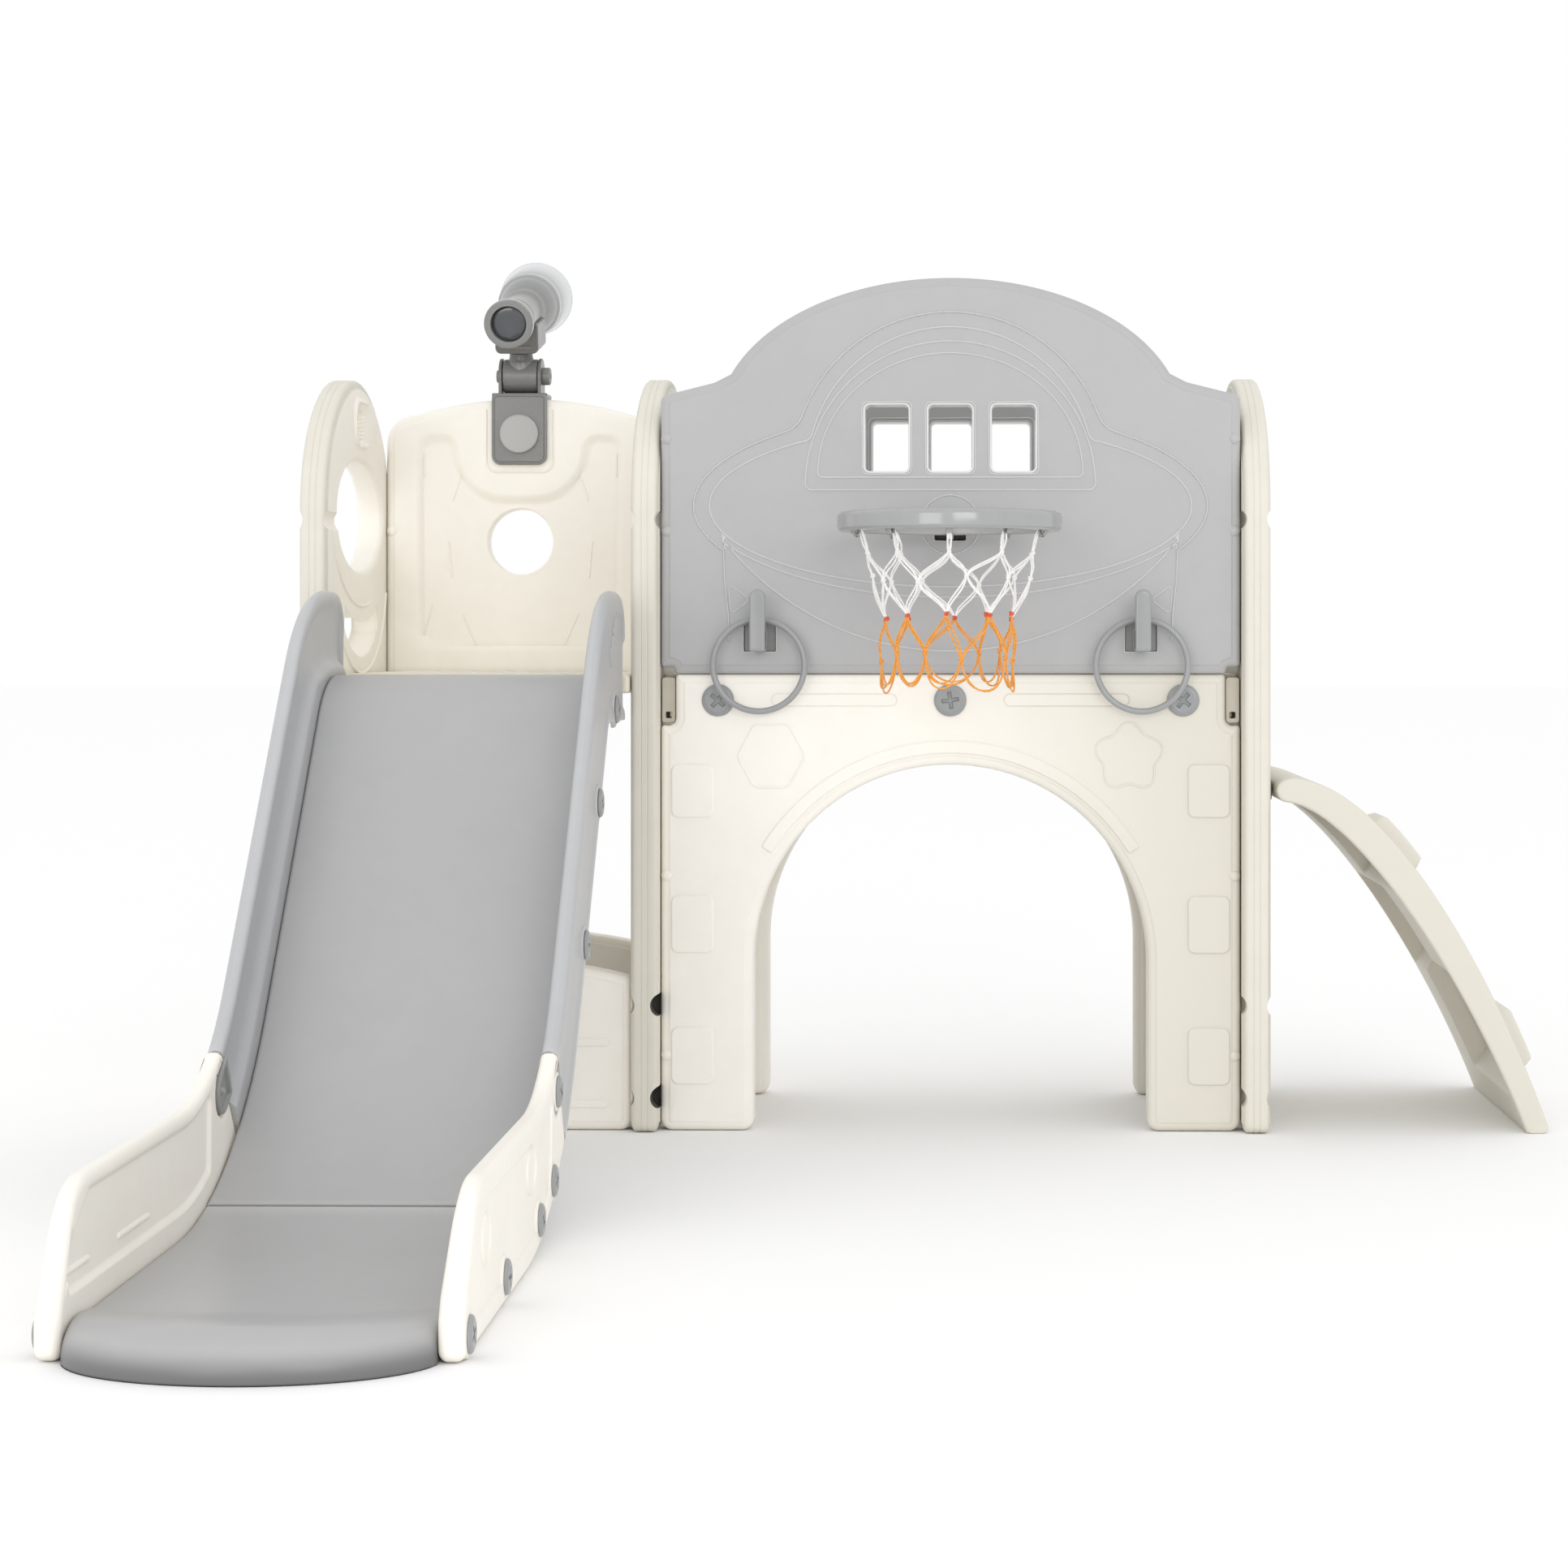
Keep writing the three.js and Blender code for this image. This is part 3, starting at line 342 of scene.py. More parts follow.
def carve(made, shape):
    """Cuts a shape out of a piece and keeps the result as plain mesh."""
    mesh = bpy.data.meshes.new("cutter")
    points = [(ORIGIN + Vector(p)) * MM for p in shape.points]
    mesh.from_pydata(points, [], shape.faces)
    mesh.polygons.foreach_set("material_index", shape.tones)
    soup = bmesh.new()
    soup.from_mesh(mesh)
    bmesh.ops.remove_doubles(soup, verts=soup.verts, dist=WELD * MM)
    bmesh.ops.recalc_face_normals(soup, faces=soup.faces)
    soup.to_mesh(mesh)
    soup.free()
    tool = bpy.data.objects.new("cutter", mesh)
    bpy.context.scene.collection.objects.link(tool)
    cut = made.modifiers.new("cut", "BOOLEAN")
    cut.object = tool
    cut.operation = "DIFFERENCE"
    cut.solver = "EXACT"
    bpy.context.view_layer.update()
    result = bpy.data.meshes.new_from_object(made.evaluated_get(bpy.context.evaluated_depsgraph_get()))
    made.modifiers.clear()
    made.data = result
    bpy.data.objects.remove(tool)


# ---- outlines ----
ROUND_STEPS = 6
RIDGE = 1.7


def inset(corners, distance, steps=ROUND_STEPS):
    """A closed outline moved towards its left by distance. Corners are (u, v) or (u, v, radius)."""
    flat = np.array([c[:2] for c in corners], float)
    radii = [c[2] if len(c) > 2 else 0 for c in corners]
    ahead = np.roll(flat, -1, 0) - flat
    ahead /= np.hypot(ahead[:, 0], ahead[:, 1])[:, None]
    loop = []
    for i, corner in enumerate(flat):
        a, b = ahead[i - 1], ahead[i]
        left_a = np.array((-a[1], a[0]))
        left_b = np.array((-b[1], b[0]))
        apex = corner + distance * (left_a + left_b) / (1 + left_a @ left_b)
        turn = atan2(a[0] * b[1] - a[1] * b[0], a @ b)
        if not radii[i]:
            loop.append(apex)
            continue
        way = 1 if turn > 0 else -1
        radius = max(radii[i] - way * distance, 0.8)
        start = apex - a * radius * tan(abs(turn) / 2)
        centre = start + way * radius * left_a
        for k in range(steps + 1):
            angle = turn * k / steps
            c, s = cos(angle), sin(angle)
            arm = start - centre
            loop.append(centre + np.array((c * arm[0] - s * arm[1], s * arm[0] + c * arm[1])))
    return np.array(loop)


def arc(u, v, a, b, start, end, steps=24):
    """Points on an ellipse's arc, in degrees."""
    turns = [radians(start + (end - start) * k / steps) for k in range(steps + 1)]
    return [(u + a * cos(t), v + b * sin(t)) for t in turns]


def circle(u, v, radius, steps=40, tall=None):
    return arc(u, v, radius, tall or radius, 0, 360 - 360 / steps, steps - 1)


def rectangle(u0, u1, v0, v1, radius):
    return [(u0, v0, radius), (u1, v0, radius), (u1, v1, radius), (u0, v1, radius)]


def hole(corners):
    return list(reversed(corners))


def mirrored(corners):
    return [(-c[0], *c[1:]) for c in reversed(corners)]


def stroke(path, width, height):
    """A thin raised line with round ends: nested loops and their heights."""
    path = np.array(path, float)
    way = np.gradient(path, axis=0)
    way /= np.hypot(way[:, 0], way[:, 1])[:, None]
    left = np.stack((-way[:, 1], way[:, 0]), 1)
    loops = []
    for half, rise in ((width / 2, 0), (width / 3.4, height * 0.7), (width / 9, height)):
        ends = []
        for tip, out in ((path[-1], way[-1]), (path[0], -way[0])):
            base = atan2(out[1], out[0])
            turns = [base + pi * k / 6 for k in (-2, -1, 0, 1, 2)]
            ends.append([tip + half * np.array((cos(t), sin(t))) for t in turns])
        right_side = list(path - left * half)
        left_side = list((path + left * half)[::-1])
        loops.append((np.array(right_side + ends[0] + left_side + ends[1]), rise))
    return loops


def outline_ridge(corners, width, height, steps=ROUND_STEPS):
    """A raised line that follows a closed outline."""
    levels = ((-width / 2, 0), (-width / 5, height * 0.8), (width / 5, height * 0.8), (width / 2, 0))
    return [(inset(corners, d, steps), rise) for d, rise in levels]


def level(corners, height, slope=2.4, steps=ROUND_STEPS):
    """A raised or sunken area with a soft edge."""
    profile = ((0, 0), (0.25, 0.12), (0.5, 0.5), (0.75, 0.88), (1, 1))
    return [(inset(corners, slope * d, steps), height * rise) for d, rise in profile]


# ---- panels ----
def inside(points, loops):
    """Whether each point lies within an odd number of the loops."""
    odd = np.zeros(len(points), bool)
    for loop in loops:
        for a, b in zip(loop, np.roll(loop, -1, 0)):
            crosses = (a[1] > points[:, 1]) != (b[1] > points[:, 1])
            if a[1] == b[1]:
                continue
            at = a[0] + (points[:, 1] - a[1]) * (b[0] - a[0]) / (b[1] - a[1])
            odd ^= crosses & (points[:, 0] < at)
    return odd


def filled(edges, features):
    """Triangles between the edge loops that carry the features' loops, with the height of each point."""
    loops = [(loop, 0.0) for loop in edges] + features
    coords, heights, lines = [], [], []
    for loop, height in loops:
        start = len(coords)
        coords += [Vector(p) for p in loop]
        heights += [height] * len(loop)
        lines += [(start + k, start + (k + 1) % len(loop)) for k in range(len(loop))]
    made = delaunay_2d_cdt(coords, lines, [], 0, 1e-4, True)
    flat = np.array([(v.x, v.y) for v in made[0]])
    given = np.array([(v.x, v.y) for v in coords])
    rise = []
    for k, sources in enumerate(made[3]):
        if not sources:
            sources = [int(np.argmin(((given - flat[k]) ** 2).sum(1)))]
        rise.append(heights[sources[0]])
    triangles = np.array([list(f) for f in made[2]])
    keep = inside(flat[triangles].mean(1), edges)
    return flat, rise, triangles[keep]


def edge_profile(thickness, rim=12.5, round_over=9, grooves=True):
    """How the wall of a panel runs from its front face to its rear face: (inset, depth) pairs."""
    r = round_over
    front = [(rim, 0), (rim - 0.9, 0.35), (rim - 2.2, 1.3), (rim - 3.3, 1.5)] if rim > r else [(r, 0)]
    base = front[-1][1]
    for k in range(1, 7):
        turn = pi / 2 * k / 6
        front.append(((rim - 3.3 if rim > r else r) * (1 - sin(turn)), base + (r - base) * (1 - cos(turn))))
    if grooves:
        at = thickness / 2 - 5
        front += [(0, at), (0.55, at + 0.7), (0.55, at + 1.5), (0, at + 2.2)]
    return front + [(i, thickness - d) for i, d in reversed(front)]


def plain_edge(thickness, round_over=1.5):
    return edge_profile(thickness, 0, round_over, False)


def panel(outline, holes, thickness, front=(), rear=(), profile=None, edge_tone=0, crest=None, hole_tone=0):
    """A moulded panel drawn in u and v, with w running from its front face to its rear face.
    holes are outlines, or (outline, profile) where a hole's wall differs. The outline's wall takes
    edge_tone, the holes' walls take hole_tone, and faces higher than crest take tone 1."""
    shape = Shape()
    profile = profile or edge_profile(thickness)
    walls = [(outline, profile)] + [h if isinstance(h, tuple) else (h, profile) for h in holes]
    first, last = [], []
    for k, (corners, wall) in enumerate(walls):
        rows = [[(u, v, w) for u, v in inset(corners, d)] for d, w in wall]
        shape.grid(rows, around=True, tone=hole_tone if k else edge_tone)
        first.append(np.array(rows[0])[:, :2])
        last.append(np.array(rows[-1])[:, :2])
    for edges, features, face_w, out in ((first, front, 0, -1), (last, rear, thickness, 1)):
        flat, rise, triangles = filled(edges, [loop for feature in features for loop in feature])
        points = [(u, v, face_w + out * h) for (u, v), h in zip(flat, rise)]
        raised = np.array(rise)[triangles].mean(1) > crest if crest else np.zeros(len(triangles), bool)
        shape.add(points, triangles[~raised].tolist())
        shape.add(points, triangles[raised].tolist(), 1)
    return shape


def slab(corners, thickness, round_over, holes=()):
    """A plain panel with rounded edges."""
    return panel(corners, list(holes), thickness, profile=plain_edge(thickness, round_over))


def facing_front(shape, y):
    """A panel's u, v, w become X, Z and Y, with its front face at y."""
    shape.points = [(u, y + w, v) for u, v, w in shape.points]
    return shape


def facing_side(shape, x):
    """A panel's u, v, w become Y, Z and X, with its first face at x."""
    shape.points = [(x + w, u, v) for u, v, w in shape.points]
    return shape


def shifted(shape, x=0, y=0, z=0):
    shape.points = [(px + x, py + y, pz + z) for px, py, pz in shape.points]
    return shape


def turned_lathe(profile, steps, axis="Z"):
    """A closed ring or solid turned from (radius, along) pairs around an axis."""
    rows = []
    for k in range(steps):
        t = 2 * pi * k / steps
        if axis == "Z":
            rows.append([(r * cos(t), r * sin(t), a) for r, a in profile])
        elif axis == "Y":
            rows.append([(r * cos(t), a, r * sin(t)) for r, a in profile])
        else:
            rows.append([(a, r * cos(t), r * sin(t)) for r, a in profile])
    shape = Shape()
    shape.grid(rows, along=True)
    for end in (0, -1):
        if profile[end][0] > 0.001:
            shape.add([row[end] for row in rows], [list(range(steps))])
    return shape


def ring_lathe(profile, steps, axis="Z"):
    """A ring turned from a closed profile."""
    shape = turned_lathe(list(profile) + [profile[0]], steps, axis)
    shape.faces = shape.faces[:-2]
    shape.tones = shape.tones[:-2]
    return shape


def dome(x, y, z, radius, side, height):
    """A locating bump: a low dome that stands out from a wall towards side along X."""
    profile = [(radius * cos(t), side * height * sin(t)) for t in np.linspace(0, pi / 2, 9)]
    return shifted(turned_lathe(profile, 28, "X"), x, y, z)


def bump(x, y, z, radius):
    """A small round boss at a panel's edge."""
    profile = [(radius * cos(t), radius * sin(t)) for t in np.linspace(-pi / 2, pi / 2, 15)]
    return shifted(turned_lathe([(0, -radius)] + profile[1:-1] + [(0, radius)], 28, "X"), x, y, z)


def tube(path, radius, sides=8, twist=0.0):
    """A round cord along a path; twist adds slight lobes that turn along it."""
    path = [Vector(p) for p in path]
    shape = Shape()
    rows = []
    normal = None
    for i, point in enumerate(path):
        ahead = (path[min(i + 1, len(path) - 1)] - path[max(i - 1, 0)]).normalized()
        if normal is None:
            normal = ahead.orthogonal().normalized()
        normal = (normal - ahead * normal.dot(ahead)).normalized()
        other = ahead.cross(normal)
        row = []
        for k in range(sides):
            t = 2 * pi * k / sides
            r = radius * (1 + twist * cos(3 * t + i * 1.1))
            row.append(point + normal * (r * cos(t)) + other * (r * sin(t)))
        rows.append(row)
    shape.loft(rows)
    return shape


# ---- side panels ----
SIDE_T = LEFT.x1 - LEFT.x0
SIDE_TOP_RADIUS = 260
SIDE_CORNER = 167
FOOT = 14
BITES_Z = (44, 161, 776)
BITE = {"radius": 15, "depth": 5.5, "near": 16, "far": 60}


def side_outline():
    half = (LEFT.y1 - LEFT.y0) / 2
    reach = half - SIDE_CORNER
    centre = LEFT.z1 - SIDE_TOP_RADIUS
    corner_z = centre + sqrt((SIDE_TOP_RADIUS - SIDE_CORNER) ** 2 - reach**2)
    turn = asin(reach / (SIDE_TOP_RADIUS - SIDE_CORNER)) * 180 / pi
    outline = [(LEFT.y0, 0, FOOT), (LEFT.y1, 0, FOOT)]
    outline += arc(LEFT.y + reach, corner_z, SIDE_CORNER, SIDE_CORNER, 0, 90 - turn, 14)
    outline += arc(LEFT.y, centre, SIDE_TOP_RADIUS, SIDE_TOP_RADIUS, 90 - turn, 90 + turn, 12)[1:-1]
    outline += arc(LEFT.y - reach, corner_z, SIDE_CORNER, SIDE_CORNER, 90 + turn, 180, 14)
    return outline


WINDOW = {"y": 212, "z": 789, "a": 158, "b": 73}
SLOT = {"y0": 177, "y1": 243, "z0": 884, "z1": 940}


def low_crescent():
    """The opening under the oval window: its top follows the window, its floor is a flatter bow."""
    top = arc(WINDOW["y"], WINDOW["z"], 190, 136, 232, 308, 14)
    floor = arc(WINDOW["y"], WINDOW["z"], 200, 194, 308, 232, 14)
    return [(*top[0], 10), *top[1:-1], (*top[-1], 10), (*floor[0], 10), *floor[1:-1], (*floor[-1], 10)]


def window_relief():
    under_window = arc(WINDOW["y"], WINDOW["z"], 197, 120, 184, 288, 30)
    foot_line = arc(WINDOW["y"], 720, 180, 141, 204, 347, 40)
    boss = rectangle(SLOT["y0"] - 22, SLOT["y1"] + 22, SLOT["z0"] - 7, SLOT["z1"] + 9, 28)
    return [stroke(under_window, 5, 2.2), stroke(foot_line, 5, 2.2), level(boss, 4.5, 8)]


def bites(x0, x1, deep=False):
    """Round grooves in both faces of a side panel, from its front edge: the panels' bumps rest in them."""
    def right(z):
        """Depth and end of a groove in the face towards +X."""
        if deep:
            return (BITE["depth"] + 5, BITE["near"] + 4) if z < 500 else (BITE["depth"], BITE["near"])
        return BITE["depth"], BITE["far"]

    cutters = Shape()
    for z in BITES_Z:
        for face, way, depth, end in ((x0, 1, BITE["depth"], BITE["near"]), (x1, -1, *right(z))):
            radius = BITE["radius"]
            profile = [(0, LEFT.y0 - 6), (radius, LEFT.y0 - 6), (radius, end), (radius - 5, end + 5)]
            groove = turned_lathe(profile + [(0, end + 5)], 28, "Y")
            if deep and way < 0 and z < 500:
                groove.tones = [2] * len(groove.faces)
            cutters.merge(shifted(groove, face + way * (depth - radius), 0, z))
    return cutters


def make_side_panels():
    edge = edge_profile(SIDE_T, 11.5, 8)
    relief = window_relief()
    holes = [
        (
            hole(circle(WINDOW["y"], WINDOW["z"], WINDOW["a"], 56, WINDOW["b"])),
            edge_profile(SIDE_T, 0, 8, False),
        ),
        (hole(serrated_slot()), plain_edge(SIDE_T, 3)),
        (hole(low_crescent()), edge_profile(SIDE_T, 0, 6, False)),
    ]
    shape = panel(side_outline(), holes, SIDE_T, relief, relief, edge, edge_tone=1)
    facing_side(shape, LEFT.x0)
    # Tone 1, on the edge walls, is a darker ivory: painted shade.
    tones = [IVORY, IVORY_EDGE_PAINTED_SHADE, GAP_SHADE]
    piece("left_side", shape, tones, ["left_side_panel"], cutters=bites(LEFT.x0, LEFT.x1))
    door = hole(doorway_outline())
    frame_line = [outline_ridge(inset(door, 26).tolist()[::-1], 5, 1.6)]
    for name, span in (("centre", CENTRE), ("right", RIGHT)):
        shape = panel(side_outline(), [door], SIDE_T, frame_line, frame_line, edge, edge_tone=1)
        facing_side(shape, span.x0)
        cutters = bites(span.x0, span.x1, name == "centre")
        piece(f"{name}_side", shape, tones, [f"{name}_side_panel"], cutters=cutters)


def serrated_slot():
    """The hand slot: upright, with a row of small grip teeth along each side."""
    y0, y1, z0, z1 = SLOT["y0"] + 12, SLOT["y1"] - 12, SLOT["z0"] + 8, SLOT["z1"] - 10
    teeth = 7
    step = (z1 - z0) / teeth
    right = []
    for k in range(teeth):
        z = z0 + step * (k + 0.5)
        right += [(y1, z - 0.32 * step, 0.9), (y1 - 2.6, z, 0.9)]
    right.append((y1, z1 - 0.18 * step, 0.9))
    left = [(y0 + y1 - c[0], c[1], c[2]) for c in reversed(right)]
    middle = (y0 + y1) / 2
    top = [(middle + 4, z1 + 6, 3), (middle - 4, z1 + 6, 3)]
    bottom = [(middle - 4, z0 - 6, 3), (middle + 4, z0 - 6, 3)]
    return right + top + left + bottom


def doorway_outline():
    middle = (ARCH.y1 + Span("rear_arch_panel").y0) / 2
    radius = 129
    sill = [(middle - radius, 600, 30), (middle + radius, 600, 30)]
    return sill + arc(middle, 790, radius, radius, 0, 180, 30)


make_side_panels()

# ---- arch panels ----
PANEL_T = ARCH.y1 - ARCH.y0
HALF = (ARCH.x1 - ARCH.x0) / 2
SCREW_X = (-295, 0, 295)
SCREW_Z = 547
ARCH_RADIUS = 250
ARCH_CENTRE = 215
NOTCH = {"width": 19, "bottom": 515}


def arch_outline():
    notch_x = HALF - NOTCH["width"]
    top = ARCH.z1
    right = [
        (ARCH_RADIUS, 0, 15),
        (HALF, 0, 15),
        (HALF, NOTCH["bottom"], 5),
        (notch_x, NOTCH["bottom"], 9),
        (notch_x, top, 5),
    ]
    bow = arc(0, ARCH_CENTRE, ARCH_RADIUS, ARCH_RADIUS, 180, 0, 72)
    return bow + right + mirrored(right)


def arch_band():
    """The raised band over the arch, as far as 59 degrees to each side."""
    outer, inner = ARCH_RADIUS + 32, ARCH_RADIUS + 13.5
    over = arc(0, ARCH_CENTRE, outer, outer, 31, 149, 48)
    under = arc(0, ARCH_CENTRE, inner, inner, 149, 31, 48)
    return [(*over[0], 4), *over[1:-1], (*over[-1], 4), (*under[0], 4), *under[1:-1], (*under[-1], 4)]


def flower(u, v, radius, lobes=5):
    points = []
    for k in range(90):
        t = 2 * pi * k / 90
        r = radius * (0.89 + 0.115 * cos(lobes * (t - pi / 2)))
        points.append((u + r * cos(t), v + r * sin(t)))
    return points


def hexagon(u, v, half_width, half_height):
    slant = half_width * 0.5
    corners = [(half_width, 0), (slant, half_height), (-slant, half_height), (-half_width, 0)]
    corners += [(-slant, -half_height), (slant, -half_height)]
    return [(u + a, v + b, 12) for a, b in corners]


def arch_relief():
    features = [level(arch_band(), 2.2, 3)]
    for side in (-1, 1):
        for z0, z1 in ((397, 467), (225, 300), (58, 133)):
            u0, u1 = sorted((side * 300, side * 355.5 if z1 < 500 else 0))
            features.append(level(rectangle(u0, u1, z0, z1, 10), 2.6, 3))
        u0, u1 = sorted((side * 68, side * 227))
        features.append(outline_ridge(rectangle(u0, u1, 539.5, 555, 7.7), 2.2, -1.3))
    features.append(outline_ridge(hexagon(-227, 476, 43.5, 40), 2.8, 1.5))
    features.append(outline_ridge(flower(227, 475, 44), 2.8, 1.5))
    return features


def make_arches():
    for which in ("front", "rear"):
        span = Span(f"{which}_arch_panel")
        seats = [(hole(circle(x, SCREW_Z, 6.3, 24)), plain_edge(PANEL_T, 1)) for x in SCREW_X]
        relief = arch_relief()
        shape = panel(arch_outline(), seats, PANEL_T, relief, relief)
        facing_front(shape, span.y0)
        bump_y = span.y0 + 7 if which == "front" else span.y1 - 7
        for side in (-1, 1):
            for z in (96, 324):
                shape.merge(bump(side * (HALF - 8.8), bump_y, z, 9))
        piece(f"{which}_arch", shape, IVORY, [f"{which}_arch_panel"])


make_arches()


# ---- screws with a cross recess ----
def cross(half_length, half_width, turn):
    a, b = half_length, half_width
    corners = [(a, -b), (a, b), (b, b), (b, a), (-b, a), (-b, b), (-a, b), (-a, -b)]
    corners += [(-b, -b), (-b, -a), (b, -a), (b, -b)]
    c, s = cos(turn), sin(turn)
    return [(c * u - s * v, s * u + c * v) for u, v in corners]


def screw(head_radius, head_height, shank_radius, shank_length, turn):
    """Head facing -w at w = -head_height, shank running to +w; a cross is sunk into the head."""
    rim = [(5.2, 0), (3.4, 0.3), (1.8, 0.9), (0.7, 1.7), (0, 2.8), (0, head_height)]
    arm = head_radius * 0.54
    recess = level(cross(arm, arm * 0.24, turn), -2.6, 0.7)
    dish = level(circle(0, 0, head_radius - 6, 40), -0.35, 0.8)
    face = [dish[:3] + lowered(recess, -0.35)]
    shape = panel(circle(0, 0, head_radius, 48), [], head_height, face, [], rim)
    shape.points = [(u, v, w - head_height) for u, v, w in shape.points]
    thread = []
    turns = int(shank_length / 3)
    for k in range(turns):
        w = -1 + shank_length * k / turns
        thread += [(shank_radius, w), (shank_radius - 0.9, w + shank_length / turns / 2)]
    thread += [(shank_radius * 0.6, shank_length - 0.2), (0, shank_length)]
    shape.merge(turned_lathe([(0, -1)] + thread, 20))
    return shape


def lowered(feature, by):
    return [(loop, height + by) for loop, height in feature]


def moved(feature, by):
    return [(loop + np.array((by, 0)), height) for loop, height in feature]


def make_arch_screws():
    for which, out in (("front", -1), ("rear", 1)):
        span = Span(f"{which}_arch_panel")
        for k, place in enumerate(("left", "middle", "right")):
            name = f"{which}_arch_screw_{place}"
            box = Span(name)
            shape = screw((box.x1 - box.x0) / 2, 4, 6, 38, radians((48, 8, 52)[k]))
            face = span.y0 if out < 0 else span.y1
            shape.points = [(box.x + u, face + out * 0.3 - out * w, box.z + v) for u, v, w in shape.points]
            piece(f"{which}_screw_{place}", shape, SCREW, [name])


make_arch_screws()

# ---- gray upper panels ----
DOME = {"a": 296, "b": 184, "z": 900, "join_z": 962}
SHOULDER = {"x": 300, "z": 951, "corner_z": 934}
PANE = {"half": 27.5, "z0": 838, "z1": 922, "pitch": 80.5}


def upper_outline():
    bottom = UPPER.z0
    angle = asin((DOME["join_z"] - DOME["z"]) / DOME["b"]) * 180 / pi
    right = [
        (349, bottom, 4),
        (352, bottom + 9, 4),
        (HALF, bottom + 9, 5),
        (HALF, SHOULDER["corner_z"], 9),
        (SHOULDER["x"], SHOULDER["z"], 26),
    ]
    over = arc(0, DOME["z"], DOME["a"], DOME["b"], angle, 180 - angle, 60)
    return right + over + mirrored(right)


def saucer_lines():
    """Moulding lines: two arches over the windows. The inner one closes round a wide ellipse, and the
    outer one turns down at its sides and ends in two legs."""
    lines = []
    for radius, a, b, closed, fillet in ((200, 326, 122, False, 22), (181, 306, 103, True, 14)):
        z_arch, z_ellipse = 840, 794
        for angle in range(0, 90):
            x = radius * cos(radians(angle))
            z = z_arch + radius * sin(radians(angle))
            if z > z_ellipse + b * sqrt(max(0, 1 - (x / a) ** 2)) + fillet * 0.55:
                break
        over = arc(0, z_arch, radius, radius, angle, 180 - angle, 44)
        join = acos(min(1, (over[0][0] + fillet) / a)) * 180 / pi
        lowest, count = (-180 - join, 96) if closed else (-28, 30)
        side = arc(0, z_ellipse, a, b, lowest, join, count)
        first, last = np.array(side[-1]), np.array(over[0])
        bend = (first + last) / 2 - 5
        shares = (0.25, 0.5, 0.75)
        blend = [tuple((1 - t) ** 2 * first + 2 * t * (1 - t) * bend + t * t * last) for t in shares]
        if closed:
            lines.append(outline_ridge(side[1:] + blend + over + mirrored(blend), 2.9, RIDGE))
        else:
            half = [(281, 622), (282, 660), (287, 700)] + side + blend
            lines.append(stroke(half + over + mirrored(half), 2.9, RIDGE))
    return lines


def crescent():
    """The bowl-shaped line under the windows: two bows that meet at their tips."""
    upper = arc(0, 814.8, 330, 137, 331, 209, 40)
    lower = arc(0, 974.5, 365, 365, 217.4, 322.6, 48)
    ends = [(*lower[-1], 2), (*upper[0], 2)]
    return [(*upper[-1], 2), (*lower[0], 2)] + lower[1:-1] + ends + upper[1:-1]


def upper_relief(with_fittings):
    features = saucer_lines()
    half_round = [(-185, 814, 9), (185, 814, 9)] + arc(0, 820, 184, 183, 4, 176, 48)
    features.append(outline_ridge(half_round, 2.8, RIDGE))
    inner = [(-169, 830, 7), (169, 830, 7)] + arc(0, 836, 168, 152, 4, 176, 48)
    features.append(outline_ridge(inner, 2.7, RIDGE))
    for column in (-1, 0, 1):
        u = column * PANE["pitch"]
        around = rectangle(u - 31.5, u + 31.5, PANE["z0"] - 4, PANE["z1"] + 4, 7)
        features.append(outline_ridge(around, 2.6, 1.0, 4))
    features.append(outline_ridge(crescent(), 2.8, RIDGE, 3))
    for side in (-1, 1):
        wedge = [(side * 282, 696, 4), (side * 255, 674, 4), (side * 279, 655, 4)]
        if side > 0:
            wedge.reverse()
        features.append(outline_ridge(wedge, 2.2, 0.9, 3))
    if with_fittings:
        features.append(outline_ridge(circle(0, 770, 37.5, 48), 2.6, 1.3))
    return features


def make_upper_panels():
    for which in ("front", "rear"):
        span = Span(f"{which}_upper_panel")
        thin = plain_edge(PANEL_T, 2.2)
        crisp = plain_edge(PANEL_T, 0.8)
        holes = []
        for column in (-1, 0, 1):
            u = column * PANE["pitch"]
            pane = rectangle(u - PANE["half"], u + PANE["half"], PANE["z0"], PANE["z1"], 6)
            holes.append((hole(pane), thin))
        if which == "front":
            for u, z0, z1 in ((0, 749.7, 765.3), (-242, 608.7, 648.3), (242, 608.7, 648.3)):
                holes.append((hole(rectangle(u - 20.3, u + 20.3, z0, z1, 1.2)), crisp))
        fronts = upper_relief(True) if which == "front" else plain_rear()
        rears = plain_rear() if which == "front" else upper_relief(False)
        # Faces higher than 0.4 mm take tone 1, a paler gray that paints a highlight on the ridges.
        shape = panel(upper_outline(), holes, PANEL_T, fronts, rears, crest=0.4, hole_tone=2)
        facing_front(shape, span.y0)
        bump_y = span.y0 + 7 if which == "front" else span.y1 - 7
        for side in (-1, 1):
            for z in (762, 879):
                shape.merge(bump(side * (HALF - 8.8), bump_y, z, 9))
        # Tone 2, on the windows' walls, is a paler gray: painted light.
        piece(f"{which}_upper", shape, [GRAY, GRAY_PAINTED_HIGHLIGHT, GRAY_PANE_PAINTED_LIGHT], [f"{which}_upper_panel"])


def plain_rear():
    """The side that faces the deck: two long ribs and the window frames."""
    features = []
    for column in (-1, 0, 1):
        u = column * PANE["pitch"]
        around = rectangle(u - 33, u + 33, PANE["z0"] - 5.5, PANE["z1"] + 5.5, 8)
        features.append(outline_ridge(around, 3, 1.2, 4))
    for side in (-1, 1):
        u0, u1 = sorted((side * 150, side * 335))
        for z0, z1 in ((690, 712), (785, 807)):
            features.append(level(rectangle(u0, u1, z0, z1, 10), 1.6, 3))
    return features


make_upper_panels()


